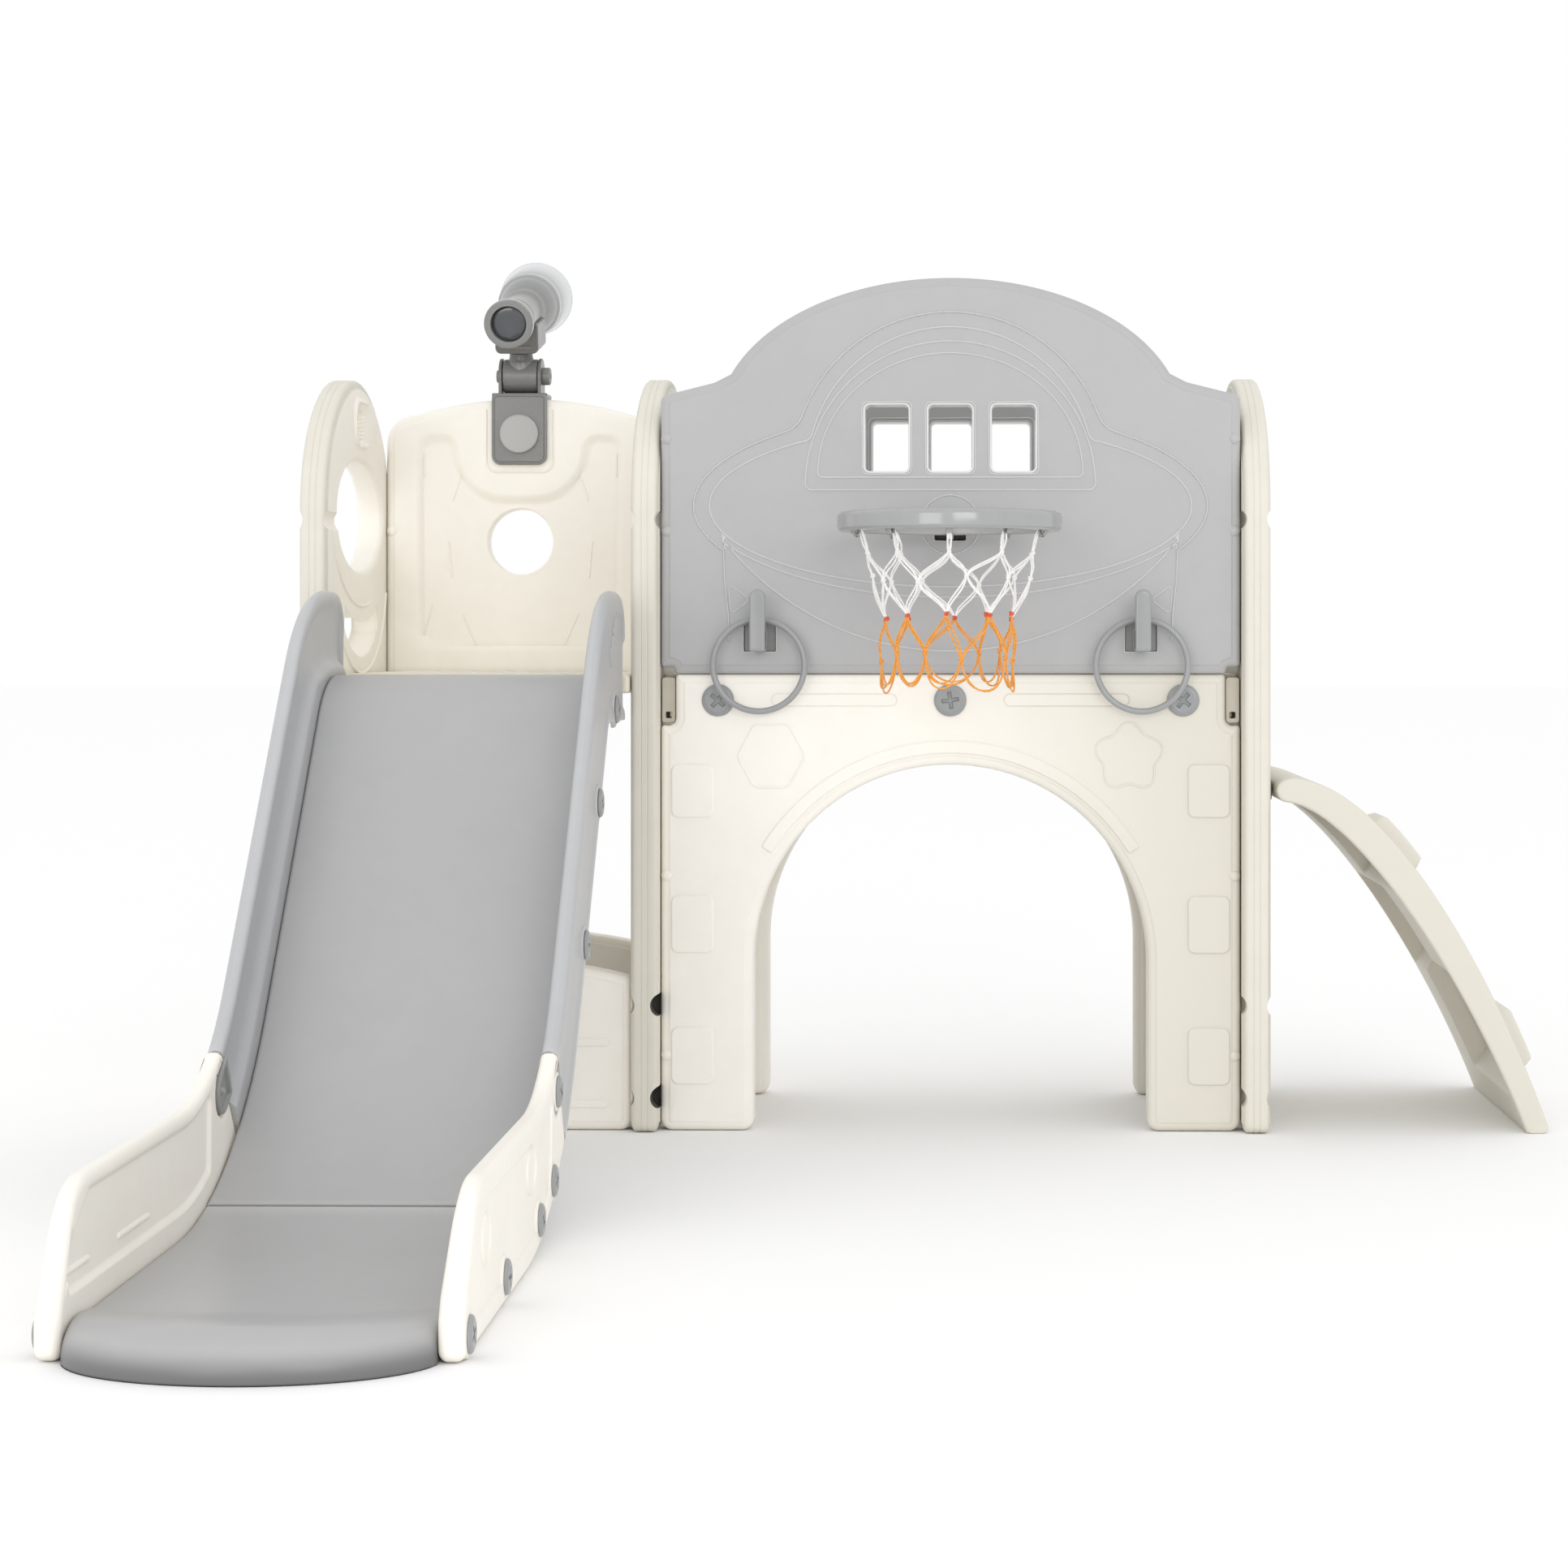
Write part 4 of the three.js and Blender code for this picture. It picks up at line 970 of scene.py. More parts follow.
# ---- decks ----
def ribbed_plate(x0, x1, y0, y1, z0, z1, pitch=24):
    """A deck drawn in X and Y, with anti-slip ribs across its top and stiffening ribs under it."""
    outline = rectangle(x0, x1, y0, y1, 6)
    top, under = [], []
    count = int((x1 - x0 - 60) // pitch)
    start = (x0 + x1) / 2 - pitch * (count - 1) / 2
    for k in range(count):
        u = start + k * pitch
        top.append(level(rectangle(u - 6.5, u + 6.5, y0 + 26, y1 - 26, 6), 1.3, 1.8, 4))
    for k in range(3):
        v = y0 + (y1 - y0) * (k + 1) / 4
        under.append(level(rectangle(x0 + 30, x1 - 30, v - 12, v + 12, 8), 2.0, 4, 4))
    profile = edge_profile(z1 - z0, 0, 5, False)
    shape = panel(outline, [], z1 - z0, under, top, profile)
    shape.points = [(u, v, z0 + w) for u, v, w in shape.points]
    return shape


def make_decks():
    tower = Span("tower_deck")
    shape = ribbed_plate(tower.x0, tower.x1, tower.y0, tower.y1, tower.z0, tower.z1)
    piece("tower_floor", shape, IVORY_DECK, ["tower_deck"])
    y0, y1 = ARCH.y1 + 0.3, Span("rear_arch_panel").y0 - 0.3
    shape = ribbed_plate(DECK.x0, DECK.x1, y0, y1, DECK_Z - 24, DECK_Z)
    piece("bridge_floor", shape, IVORY_DECK, ["bridge_deck"])
    lugs = Shape()
    for side in (-1, 1):
        for front, rear in ((DECK.y0 + 4, y0 + 30), (y1 - 30, DECK.y1 - 4)):
            u0, u1 = sorted((side * (HALF - 18.2), side * (HALF - 0.6)))
            eye = rectangle(u0 + 5, u1 - 5, 524, 532, 1.5)
            outline = rectangle(u0, u1, 518, 576, 4)
            lugs.merge(facing_front(slab(outline, rear - front, 1.5, [hole(eye)]), front))
    piece("bridge_floor_lugs", lugs, LUG_PAINTED_SHADE, ["bridge_deck"])


make_decks()


# ---- tower panels ----
def low_panel_outline(half, edge_z, middle_z):
    curve = [(u, middle_z - (middle_z - edge_z) * (u / half) ** 2) for u in np.linspace(half, -half, 25)]
    return [(-half, 0, 14), (half, 0, 14), (*curve[0], 10)] + curve[1:-1] + [(*curve[-1], 10)]


def make_low_panels():
    for which, out in (("front", -1), ("rear", 1)):
        span = Span(f"tower_{which}_low_panel")
        half = (span.x1 - span.x0) / 2
        ribs = [level(rectangle(-half + 28, half - 28, z - 6, z + 6, 5.5), 1.8, 2.6) for z in (34, 112)]
        shape = panel(low_panel_outline(half, span.z1 - 25, span.z1), [], span.y1 - span.y0, ribs, ribs)
        facing_front(shape, span.y0)
        bump_y = span.y0 + 7 if out < 0 else span.y1 - 7
        for side in (-1, 1):
            for z in (44, 161):
                shape.merge(dome(side * (half - 0.6), bump_y, z, 12, side, 5.2))
        shifted(shape, span.x)
        piece(f"tower_{which}_low", shape, IVORY, [f"tower_{which}_low_panel"])


make_low_panels()

SCOPE = Span("telescope_panel")
SCOPE_X = Span("bracket_cap").x


def scope_panel_outline(half):
    edge_top = SCOPE.z1 - 23
    rise = 23
    flat = half - 40
    top = [(u, edge_top + rise * (1 - (u / flat) ** 2)) for u in np.linspace(flat, -flat, 25)]
    right = arc(flat, edge_top - 40, 40, 40, 0, 90, 10)
    return [(-half, SCOPE.z0, 12), (half, SCOPE.z0, 12)] + right[:-1] + top + mirrored(right)[1:]


def scope_recess():
    """The sunken field, which turns down around the telescope's bracket."""
    return [
        (-147, 607, 26),
        (147, 607, 26),
        (147, 914, 24),
        (84, 914, 26),
        (80, 828, 62),
        (-80, 828, 62),
        (-84, 914, 26),
        (-147, 914, 24),
    ]


VIEW_HOLE_Z = 761
VIEW_HOLE_RADIUS = 45.6
VIEW_HOLE_NEAR = 60
# Short raised lines in the sunken field: their two ends, right of the middle.
SCOPE_MARKS = (
    ((84, 851), (95, 819)),
    ((100, 760), (96, 712)),
    ((80, 659), (62, 618)),
    ((124, 672), (134, 632)),
    ((134, 882), (134, 852)),
)


def make_telescope_panel():
    half = (SCOPE.x1 - SCOPE.x0) / 2
    aside = SCOPE_X - SCOPE.x
    depth = -7
    field = moved(level(scope_recess(), depth, 17), aside)
    marks = []
    for side in (-1, 1):
        for a, b in SCOPE_MARKS:
            steps = np.linspace(0, 1, 8)
            path = [(side * (a[0] + (b[0] - a[0]) * t), a[1] + (b[1] - a[1]) * t) for t in steps]
            marks.append(moved(lowered(stroke(path, 3.4, 1.3), depth), aside))
    bends = arc(-31, 874, 16, 16, 180, 270, 8)[1:] + arc(31, 874, 16, 16, 270, 360, 8)
    seat = [(-47, 944), (-47, 874)] + bends + [(47, 944)]
    marks.append(moved(stroke(seat, 3.4, 1.6), aside))
    opening = hole(circle(aside, VIEW_HOLE_Z, VIEW_HOLE_RADIUS, 56))
    thickness = SCOPE.y1 - SCOPE.y0
    view_hole = (opening, edge_profile(thickness, 0, 5, False))
    rear = [level([(-140, 610, 26), (140, 610, 26), (140, 905, 24), (-140, 905, 24)], -3, 9)]
    shape = recessed_panel(scope_panel_outline(half), view_hole, thickness, field, marks, depth, rear)
    facing_front(shape, SCOPE.y0)
    for side in (-1, 1):
        shape.merge(bump(side * (half - 9), SCOPE.y0 + 7, 776, 9.4))
    shifted(shape, SCOPE.x)
    piece("telescope_wall", shape, IVORY, ["telescope_panel"])


def recessed_panel(outline, opening, thickness, field, marks, depth, rear):
    """A panel whose opening lies in a sunken field: the hole's first loop starts at the field's depth."""
    corners, wall = opening
    sunk = [(d, w - depth if k == 0 else w - depth * (1 - k / len(wall))) for k, (d, w) in enumerate(wall)]
    shape = Shape()
    profile = edge_profile(thickness)
    first, last = [], []
    for edge_corners, edge in ((outline, profile), (corners, sunk)):
        rows = [[(u, v, w) for u, v in inset(edge_corners, d)] for d, w in edge]
        shape.grid(rows, around=True)
        first.append(np.array(rows[0])[:, :2])
        last.append(np.array(rows[-1])[:, :2])
    features = field + [loop for mark in marks for loop in mark]
    behind = [loop for feature in rear for loop in feature]
    centre = np.mean(corners, 0)
    for edges, loops, face_w, out in ((first, features, 0, -1), (last, behind, thickness, 1)):
        flat, rise, triangles = filled(edges, loops)
        at_hole = np.hypot(flat[:, 0] - centre[0], flat[:, 1] - centre[1]) < VIEW_HOLE_NEAR
        if out < 0:
            rise = [depth if sunk_here else h for h, sunk_here in zip(rise, at_hole)]
        points = [(u, v, face_w + out * h) for (u, v), h in zip(flat, rise)]
        shape.add(points, triangles.tolist())
    return shape


make_telescope_panel()


# ---- slide ----
SLIDE_ANGLE = radians(48.7)
SLIDE = {"platform_end": -120, "top_radius": 132, "runout": 30, "bottom_radius": 530, "front": -1296}
BED_HALF = (BED.x1 - BED.x0) / 2
BED_T = 16
BED_SEAM = BED.y0
SEAM_GROOVE = 5
SIDE_OUT = RAIL.x1 - TOWER_X
SIDE_IN = RAIL.x0 - TOWER_X


def slide_line(rise, runout, top_radius, bottom_radius, end_y, steps=14):
    """One of the slide's parallel lines in Y and Z: level, round over, straight, round out."""
    points = []
    for k in range(steps + 1):
        turn = SLIDE_ANGLE * k / steps
        y = SLIDE["platform_end"] - top_radius * sin(turn)
        points.append((y, DECK_Z + rise - top_radius * (1 - cos(turn))))
    drop = points[-1][1] - runout
    corner_y = points[-1][0] - drop / tan(SLIDE_ANGLE)
    centre_y = corner_y - bottom_radius * tan(SLIDE_ANGLE / 2)
    for k in range(steps + 1):
        turn = SLIDE_ANGLE * (1 - k / steps)
        points.append((centre_y + bottom_radius * sin(turn), runout + bottom_radius * (1 - cos(turn))))
    points.append((end_y, runout))
    return points


def bed_line(steps):
    return slide_line(0, SLIDE["runout"], SLIDE["top_radius"], SLIDE["bottom_radius"], SLIDE["front"], steps)


def clipped(line, y_from, y_to):
    """The stretch of a line between two Y values, with exact ends."""
    line = np.array(line)
    order = line[::-1]
    ends = [(y, float(np.interp(y, order[:, 0], order[:, 1]))) for y in (y_from, y_to)]
    within = [tuple(p) for p in line if y_to < p[0] < y_from]
    return [ends[0]] + within + [ends[1]]


def run_lengths(line):
    """How far along a line each of its points is."""
    return np.concatenate(([0], np.cumsum(np.hypot(*np.diff(line, axis=0).T))))


def evenly(line, count):
    line = np.array(line, float)
    along = run_lengths(line)
    at = np.linspace(0, along[-1], count)
    return np.stack([np.interp(at, along, line[:, k]) for k in (0, 1)], 1)


BED_ROUND = 5


def bed_rows(top, thickness, half):
    """Cross-sections of a bed along its top line, in X, Y and Z."""
    top = np.array(top)
    way = np.gradient(top, axis=0)
    way /= np.hypot(way[:, 0], way[:, 1])[:, None]
    down = np.stack((-way[:, 1], way[:, 0]), 1)
    turns = np.linspace(0, pi / 2, 5)
    edge = [(half - BED_ROUND * (1 - cos(t)), BED_ROUND * (1 - sin(t))) for t in turns]
    across = [(-u, depth) for u, depth in edge]
    across += [(u, 0.0) for u in np.linspace(-half + 14, half - 14, 15)]
    across += edge[::-1]
    across += [(half - 1, thickness - 1), (half - 3, thickness)]
    across += [(-half + 3, thickness), (-half + 1, thickness - 1)]
    rows = []
    for (y, z), (dy, dz) in zip(top, down):
        rows.append([(TOWER_X + u, y + dy * depth, z + dz * depth) for u, depth in across])
    return rows


def make_beds():
    line = [(BED.y1, DECK_Z)] + bed_line(14)
    upper = clipped(line, BED.y1, BED_SEAM + SEAM_GROOVE)
    shape = Shape()
    shape.loft(eased_end(bed_rows(evenly(upper, 90), BED_T, BED_HALF), 1.6))
    piece("slide_bed_upper", shape, GRAY, ["slide_upper_bed"])
    make_lower_bed()


def eased_end(rows, size):
    """The last cross-section shrunk a little, so the seam between two beds shows as a fine groove."""
    tip = np.array(rows[-1])
    near = np.array(rows[-2])
    eased = tip + np.array((0, 0, -size)) * (tip[:, 2:3] > np.mean(tip, axis=0)[2])
    middle = tip + (near - tip) * 0.12
    return rows[:-1] + [middle.tolist(), eased.tolist()]


def lip_section(u):
    """The run-out at a distance u from its middle: it dips, swells into a raised lip, then rolls over."""
    share = u / BED_HALF
    bow = sqrt(max(0.0, 1 - (0.985 * share) ** 2))
    front = SLIDE["front"] + 16 - (SLIDE["front"] + 16 - LOWER.y0) * bow
    swell = max(0.0, 1 - abs(share) ** 2.6)
    crest = 33 + 9 * swell
    dip_y = -1196 - 22 * swell
    roll_y = front + 44 + 10 * (1 - swell)
    points = []
    for y in np.linspace(BED_SEAM - 0.3, dip_y, 18)[:-1]:
        sink = 1.6 if y > BED_SEAM - 1 else 1.2
        points.append((y, float(np.interp(y, RUN_Y, RUN_Z)) - sink))
    start = float(np.interp(dip_y, RUN_Y, RUN_Z)) - 1.2
    for t in np.linspace(0, 1, 16):
        ease = t * t * (3 - 2 * t)
        points.append((dip_y + (roll_y - dip_y) * t, start + (crest - start) * ease))
    for t in np.linspace(0, pi / 2, 16)[1:]:
        points.append((roll_y - (roll_y - front) * sin(t), 2 + (crest - 2) * max(0.0, cos(t)) ** 0.85))
    points.append((front + 1, 0.2))
    return points


LOWER = Span("slide_lower_bed")
RUN = bed_line(24)
RUN_Y = [p[0] for p in reversed(RUN)]
RUN_Z = [p[1] for p in reversed(RUN)]


def make_lower_bed():
    across = [-BED_HALF + 4 * (1 - cos(t)) for t in np.linspace(0, pi / 2, 4)]
    across += list(np.linspace(-BED_HALF + 10, BED_HALF - 10, 41))
    across += [-u for u in reversed(across[:4])]
    tops = []
    for u in across:
        side = (BED_HALF - abs(u)) / 4
        dip = 0 if side >= 1 else 4 * (1 - sqrt(1 - (1 - side) ** 2))
        tops.append([(TOWER_X + u, y, max(z - dip, 0.2)) for y, z in lip_section(u)])
    rows = list(zip(*tops))
    shape = Shape()
    shape.grid(rows)
    under = []
    for row in rows:
        under.append([(x, y, max(z - BED_T, 0.0) if y > -1215 else 0.0) for x, y, z in row])
    shape.grid(under)
    for k in (0, -1):
        shape.grid([rows[k], under[k]])
    for k in (0, -1):
        shape.grid([[row[k] for row in rows], [row[k] for row in under]])
    piece("slide_bed_lower", shape, LIP_GRAY, ["slide_lower_bed"])


make_beds()

RAIL_RISE = 104
RAIL_LUG_Z = 523
RAIL_BACK = 38
SEAM_POINT = (-648, 137)
SEAM_TILT = radians(-31)
TONGUE = (-680, 146)
TONGUE_RADIUS = 24
WALL_TOP = {"runout": 146, "radius": 300, "nose": -1180}


def seam_side(point):
    """Positive behind the seam, on the rail's side."""
    dy, dz = point[0] - SEAM_POINT[0], point[1] - SEAM_POINT[1]
    return dy * cos(SEAM_TILT) - dz * sin(SEAM_TILT)


def parted(line):
    """A line's two stretches, behind the seam and ahead of it."""
    for k, (a, b) in enumerate(zip(line, line[1:])):
        if seam_side(a) >= 0 > seam_side(b):
            t = seam_side(a) / (seam_side(a) - seam_side(b))
            crossing = (a[0] + (b[0] - a[0]) * t, a[1] + (b[1] - a[1]) * t)
            return line[:k + 1] + [crossing], [crossing] + line[k + 1:]


def side_lines():
    """The top and bottom lines of the slide's side, each parted at the seam into rail and wall."""
    top_radius, front = SLIDE["top_radius"], SLIDE["front"]
    runout, radius, nose = WALL_TOP["runout"], WALL_TOP["radius"], WALL_TOP["nose"]
    over = slide_line(RAIL_RISE, runout, top_radius + RAIL_RISE, radius, nose, 24)
    below = slide_line(-BED_T, 0, top_radius - BED_T, SLIDE["bottom_radius"], front + 8, 24)
    return parted(over), parted([(y, min(z, RAIL_LUG_Z)) for y, z in below])


RAIL_DEPTH = 149


def rail_section():
    """Points around the rail: distance from the top line, and offset outward from the inner face."""
    inner = [
        (0, 14), (1.2, 9.8), (3.6, 7.4), (7, 6.2), (11, 6.2), (15.5, 7), (20, 8.8), (26, 10.4), (36, 11.2),
        (50, 11.4), (64, 11.2), (76, 10.4), (84, 8.6), (89, 5), (92.5, 1.6), (96, 0.2), (101, 0), (116, 0),
        (RAIL_DEPTH, 0),
    ]
    below_outer = [
        (RAIL_DEPTH, 0), (141, 0), (136, 0.6), (131, 2.6), (121, 3), (74, 3), (38, 3), (32, 2.4), (28, 0.6),
        (24, 0), (14, 0.2), (8, 1.4), (3.6, 4.4), (1, 8),
    ]
    full = SIDE_OUT - SIDE_IN
    return inner + [(distance, full - depth) for distance, depth in below_outer]


def make_rails():
    (rail_top, _), (rail_low, _) = side_lines()
    start = RAIL.y1
    back = arc(start - RAIL_BACK, DECK_Z + RAIL_RISE - RAIL_BACK, RAIL_BACK, RAIL_BACK, 0, 90, 8)
    tops = np.concatenate((np.array(back), evenly([back[-1]] + rail_top, 70)[1:]))
    reach = evenly([(start - RAIL_BACK, RAIL_LUG_Z)] + [p for p in rail_low if p[0] < start - RAIL_BACK], 70)
    lows = np.concatenate((np.array([(p[0], RAIL_LUG_Z) for p in back]), reach[1:]))
    for side, name in ((-1, "left"), (1, "right")):
        rows = []
        for k, (top, low) in enumerate(zip(tops, lows)):
            span = low - top
            length = hypot(*span)
            way = span / length
            flat = min(1.0, max(0.0, (k - 1) / 2))
            row = []
            for distance, offset in rail_section():
                share = distance * length / RAIL_DEPTH
                d = share if distance > 104 else min(distance, share)
                if offset <= 12 and 0 < distance <= 86:
                    offset = 6 + (offset - 6) * (0.15 + 0.85 * flat)
                x = TOWER_X + side * (SIDE_IN + offset)
                row.append((x, top[0] + way[0] * d, top[1] + way[1] * d))
            rows.append(row)
        shape = Shape()
        shape.loft(rows)
        bolt_seats(shape, side, RAIL_BOLTS, 6, [(23, 0), (22.4, 3.4), (21.2, 4.8), (19, 5.6), (0, 5.6)])
        shape.merge(rail_wedges(side))
        shape.merge(joint_tongue(side))
        piece(f"slide_rail_{name}_shell", shape, [RAIL_GRAY, SOCKET_GRAY], [f"slide_rail_{name}"])


RAIL_BOLTS = ((-123, 538), (-302, 432), (-437, 278))
WALL_BOLTS = ((-716, 59), (-820, 37), (-1055, 27), (-1272, 21), (-682, 147))


def as_ccw(corners):
    area = sum(a[0] * b[1] - b[0] * a[1] for a, b in zip(corners, corners[1:] + corners[:1]))
    return corners if area > 0 else corners[::-1]


def tongue_outline(grow, root):
    """The round end of the rail's tongue and its two sides back to the seam, from the lower side up."""
    ahead = np.array((-cos(SEAM_TILT), sin(SEAM_TILT)))
    up = np.array((sin(SEAM_TILT), cos(SEAM_TILT)))
    centre, radius = np.array(TONGUE), TONGUE_RADIUS + grow
    back = float((centre - np.array(SEAM_POINT)) @ ahead) + root
    low, high = centre - radius * up - back * ahead, centre + radius * up - back * ahead
    turns = np.linspace(0, pi, 13)
    round_end = [tuple(centre + radius * (sin(t) * ahead - cos(t) * up)) for t in turns]
    return [tuple(low)] + round_end + [tuple(high)]


def joint_tongue(side):
    """The rail's tongue, a little below the wall's faces, with a hollow on its inner face."""
    corners = as_ccw(tongue_outline(-0.2, 6))
    thickness = SIDE_OUT - SIDE_IN - 4
    middle = np.mean(corners, 0)
    inner = [tuple(middle + (np.array(c) - middle) * 0.8) for c in corners]
    hollow = level(inner, -3, 2)
    faces = ([hollow], []) if side > 0 else ([], [hollow])
    shape = panel(corners, [], thickness, *faces, edge_profile(thickness, 0, 2, False))
    facing_side(shape, TOWER_X + (SIDE_IN + 3 if side > 0 else -SIDE_OUT + 1))
    shape.tones = [1] * len(shape.faces)
    return shape


def bolt_seats(shape, side, places, sunk, seat):
    """Round seats under the bolts, standing out of a side's outer face."""
    for y, z in places:
        ring = turned_lathe([(r, side * a) for r, a in seat], 36, "X")
        shape.merge(shifted(ring, TOWER_X + side * (SIDE_OUT - sunk), y, z))


def rail_wedges(side):
    """A row of small wedges near the top of the rail."""
    shape = Shape()
    for k in range(4):
        y, z = -116 - 15 * k, 642 - 13 * k
        mark = panel(rectangle(-6, 6, -13, 13, 4), [], 4, profile=[(1.2, 0), (0.4, 0.3), (0, 1), (0, 4)])
        tilt = radians(35 if k % 2 else -20)
        c, s = cos(tilt), sin(tilt)
        face = SIDE_OUT - 0.6
        turned = [(face - w, c * u - s * v, s * u + c * v) for u, v, w in mark.points]
        mark.points = [(TOWER_X + side * out, y + u, z + v) for out, u, v in turned]
        shape.merge(mark)
    return shape


make_rails()


def wall_outline():
    """The ivory side of the slide's run-out, in Y and Z."""
    (_, wall_top), (_, wall_low) = side_lines()
    front, nose_y, top = SLIDE["front"], WALL_TOP["nose"], WALL_TOP["runout"]
    crest = [p for p in wall_top if p[0] > nose_y] + [(nose_y, top)]
    a, b, c = (np.array(p) for p in ((nose_y, top), (front + 68, top), (front + 40, 108)))
    nose = [tuple((1 - t) ** 2 * a + 2 * t * (1 - t) * b + t * t * c) for t in np.linspace(0.12, 1, 8)]
    nose.append((front + 6, 58))
    floor = [p for p in wall_low if p[0] > front + 10][::-1]
    outline = [(*wall_top[0], 6)] + thinned(crest[1:], 6) + nose
    outline += [(front - 4, 36, 20), (front - 4, 0.5, 12)]
    outline += thinned(floor[:-1], 6) + [(*wall_low[0], 8)] + tongue_outline(0.3, 0)
    return outline[::-1]


def thinned(points, least):
    kept = []
    for p in points:
        if not kept or hypot(p[0] - kept[-1][0], p[1] - kept[-1][1]) >= least:
            kept.append(tuple(p))
    return kept


def wall_field(margin_top, margin_low, back, front, nose=()):
    """A sunken field inside the wall, parallel to its top and bottom; nose adds corners at its front."""
    runout, radius = WALL_TOP["runout"] - margin_top, WALL_TOP["radius"] + margin_top
    top_radius, bottom_radius = SLIDE["top_radius"], SLIDE["bottom_radius"] - margin_low
    top = slide_line(RAIL_RISE - margin_top, runout, top_radius + RAIL_RISE, radius, -1240, 20)
    low = slide_line(-BED_T + margin_low, margin_low, top_radius - BED_T, bottom_radius, -1240, 20)
    upper = thinned(clipped(top, back[0], front[0]), 12)
    lower = thinned(clipped(low, back[1], front[1]), 12)
    corners = [(*upper[0], 10)] + upper[1:-1] + [(*upper[-1], 20), *nose]
    corners += [(*lower[-1], 8)] + lower[1:-1][::-1] + [(*lower[0], 14)]
    return corners[::-1]


def drafted(point, side):
    """The wall's inner face leans outward towards the top."""
    x, y, z = point
    share = (SIDE_OUT - abs(x - TOWER_X)) / (SIDE_OUT - SIDE_IN)
    lean = min(1.0, max(0.0, (z - 50) / 80))
    return (x + side * 5.5 * share * lean, y, z)


def make_walls():
    outline = as_ccw(wall_outline())
    thickness = SIDE_OUT - SIDE_IN
    inner_field = as_ccw(wall_field(10.5, 50, (-722, -744), (-1183, -1276), [(-1243, 104, 18)]))
    outer_field = as_ccw(wall_field(22, 22, (-722, -730), (-1190, -1266)))
    ovals = [outline_ridge(circle(y, z, a, 32, 22.5), 4, 3) for y, z, a in ((-871, 96, 31), (-1167, 84, 24))]
    ribs = []
    for y0, y1 in ((-1088, -983), (-1262, -1190)):
        path = [(y0 + (y1 - y0) * t, 70) for t in np.linspace(0, 1, 8)]
        ribs.append(lowered(stroke(path, 7, 2.4), -5))
    inner = [level(inner_field, -5, 8)] + ribs
    outer = [level(outer_field, -3, 4)] + [lowered(o, -3) for o in ovals]
    for side, name in ((-1, "left"), (1, "right")):
        faces = (outer, inner) if side < 0 else (inner, outer)
        shape = panel(outline, [], thickness, *faces, edge_profile(thickness, 0, 9, False))
        low_x = TOWER_X + (SIDE_IN if side > 0 else -SIDE_OUT)
        facing_side(shape, low_x)
        shape.points = [drafted(p, side) for p in shape.points]
        bolt_seats(shape, side, WALL_BOLTS, 4.7, [(22, 0), (21.6, 2.6), (20.6, 4), (19, 4.6), (0, 4.6)])
        piece(f"slide_wall_{name}_shell", shape, IVORY, [f"slide_wall_{name}"])


make_walls()


def make_slide_bolts():
    for side, which in ((-1, "left"), (1, "right")):
        for kind, places in (("rail", RAIL_BOLTS), ("wall", WALL_BOLTS)):
            for k, (y, z) in enumerate(places):
                shape = screw(17, 4, 5, 22, radians(20 + 33 * k))
                face = TOWER_X + side * (SIDE_OUT + 0.3)
                shape.points = [(face - side * w, y + u, z + v) for u, v, w in shape.points]
                bolt = f"slide_{kind}_bolt_{which}_{k + 1}"
                piece(f"slide_{kind}_screw_{which}_{k + 1}", shape, SCREW, [bolt])


make_slide_bolts()


# ---- hoop and net ----
HOOP_RADIUS = (HOOP.x1 - HOOP.x0) / 2
NET_COUNT = 10
NET_TOP_RADIUS = 113


def make_hoop():
    z0, z1, outer = HOOP.z0, HOOP.z1, HOOP_RADIUS
    inner = outer - 18
    profile = [
        (inner, z0 + 4), (inner + 0.8, z0 + 1.4), (inner + 3, z0), (outer - 4.4, z0),
        (outer - 2.4, z0 + 0.6), (outer - 1.6, z0 + 2.4), (outer - 0.4, z0 + 3.4), (outer, z0 + 5),
        (outer, z1 - 7), (outer - 0.7, z1 - 4), (outer - 2.6, z1 - 1.6), (outer - 5.4, z1 - 0.3),
        (outer - 8, z1), (inner + 6, z1), (inner + 2.6, z1 - 0.8), (inner + 0.7, z1 - 2.6), (inner, z1 - 5),
    ]
    shape = ring_lathe(profile, 128)
    around = np.linspace(0, 2 * pi, 12, endpoint=False)
    for k in range(NET_COUNT):
        t = 2 * pi * k / NET_COUNT - pi / 2
        tab = Shape()
        rows = []
        for share in np.linspace(0, 1, 9):
            turn = pi * share
            r = NET_TOP_RADIUS + 5.5 + 4.5 * cos(turn)
            z = z0 + 1.5 - 7.0 * sin(turn)
            rows.append([(r + 2 * cos(a), 4.2 * sin(a), z) for a in around])
        tab.loft(rows)
        shape.merge(tab, Matrix.Rotation(t, 4, "Z"))
    shifted(shape, HOOP.x, HOOP.y)
    piece("hoop", shape, HOOP_GRAY, ["hoop_ring"])


make_hoop()


def make_hoop_bracket():
    span = Span("hoop_bracket")
    shape = Shape()
    back = span.y0 + 0.4
    shape.merge(facing_front(slab(rectangle(-19.5, 19.5, 756, 779, 3), 2.5 - back, 1.2), back))
    shape.merge(facing_front(slab(rectangle(-25, 25, 767, 785, 4), 5.4, 1.6), -5.8))
    # The plug fills the socket in a dark tone: painted shadow.
    plug = slab(rectangle(-19.6, 19.6, 751, 764.6, 1.5), span.y1 - 12, 1)
    piece("hoop_plug", facing_front(plug, 12), SOCKET_PAINTED_SHADOW, ["hoop_bracket"])
    piece("hoop_arm", shape, HOOP_GRAY, ["hoop_bracket"])


make_hoop_bracket()


def net_point(turn, z, radius):
    return (HOOP.x + radius * cos(turn), HOOP.y + radius * sin(turn), z)


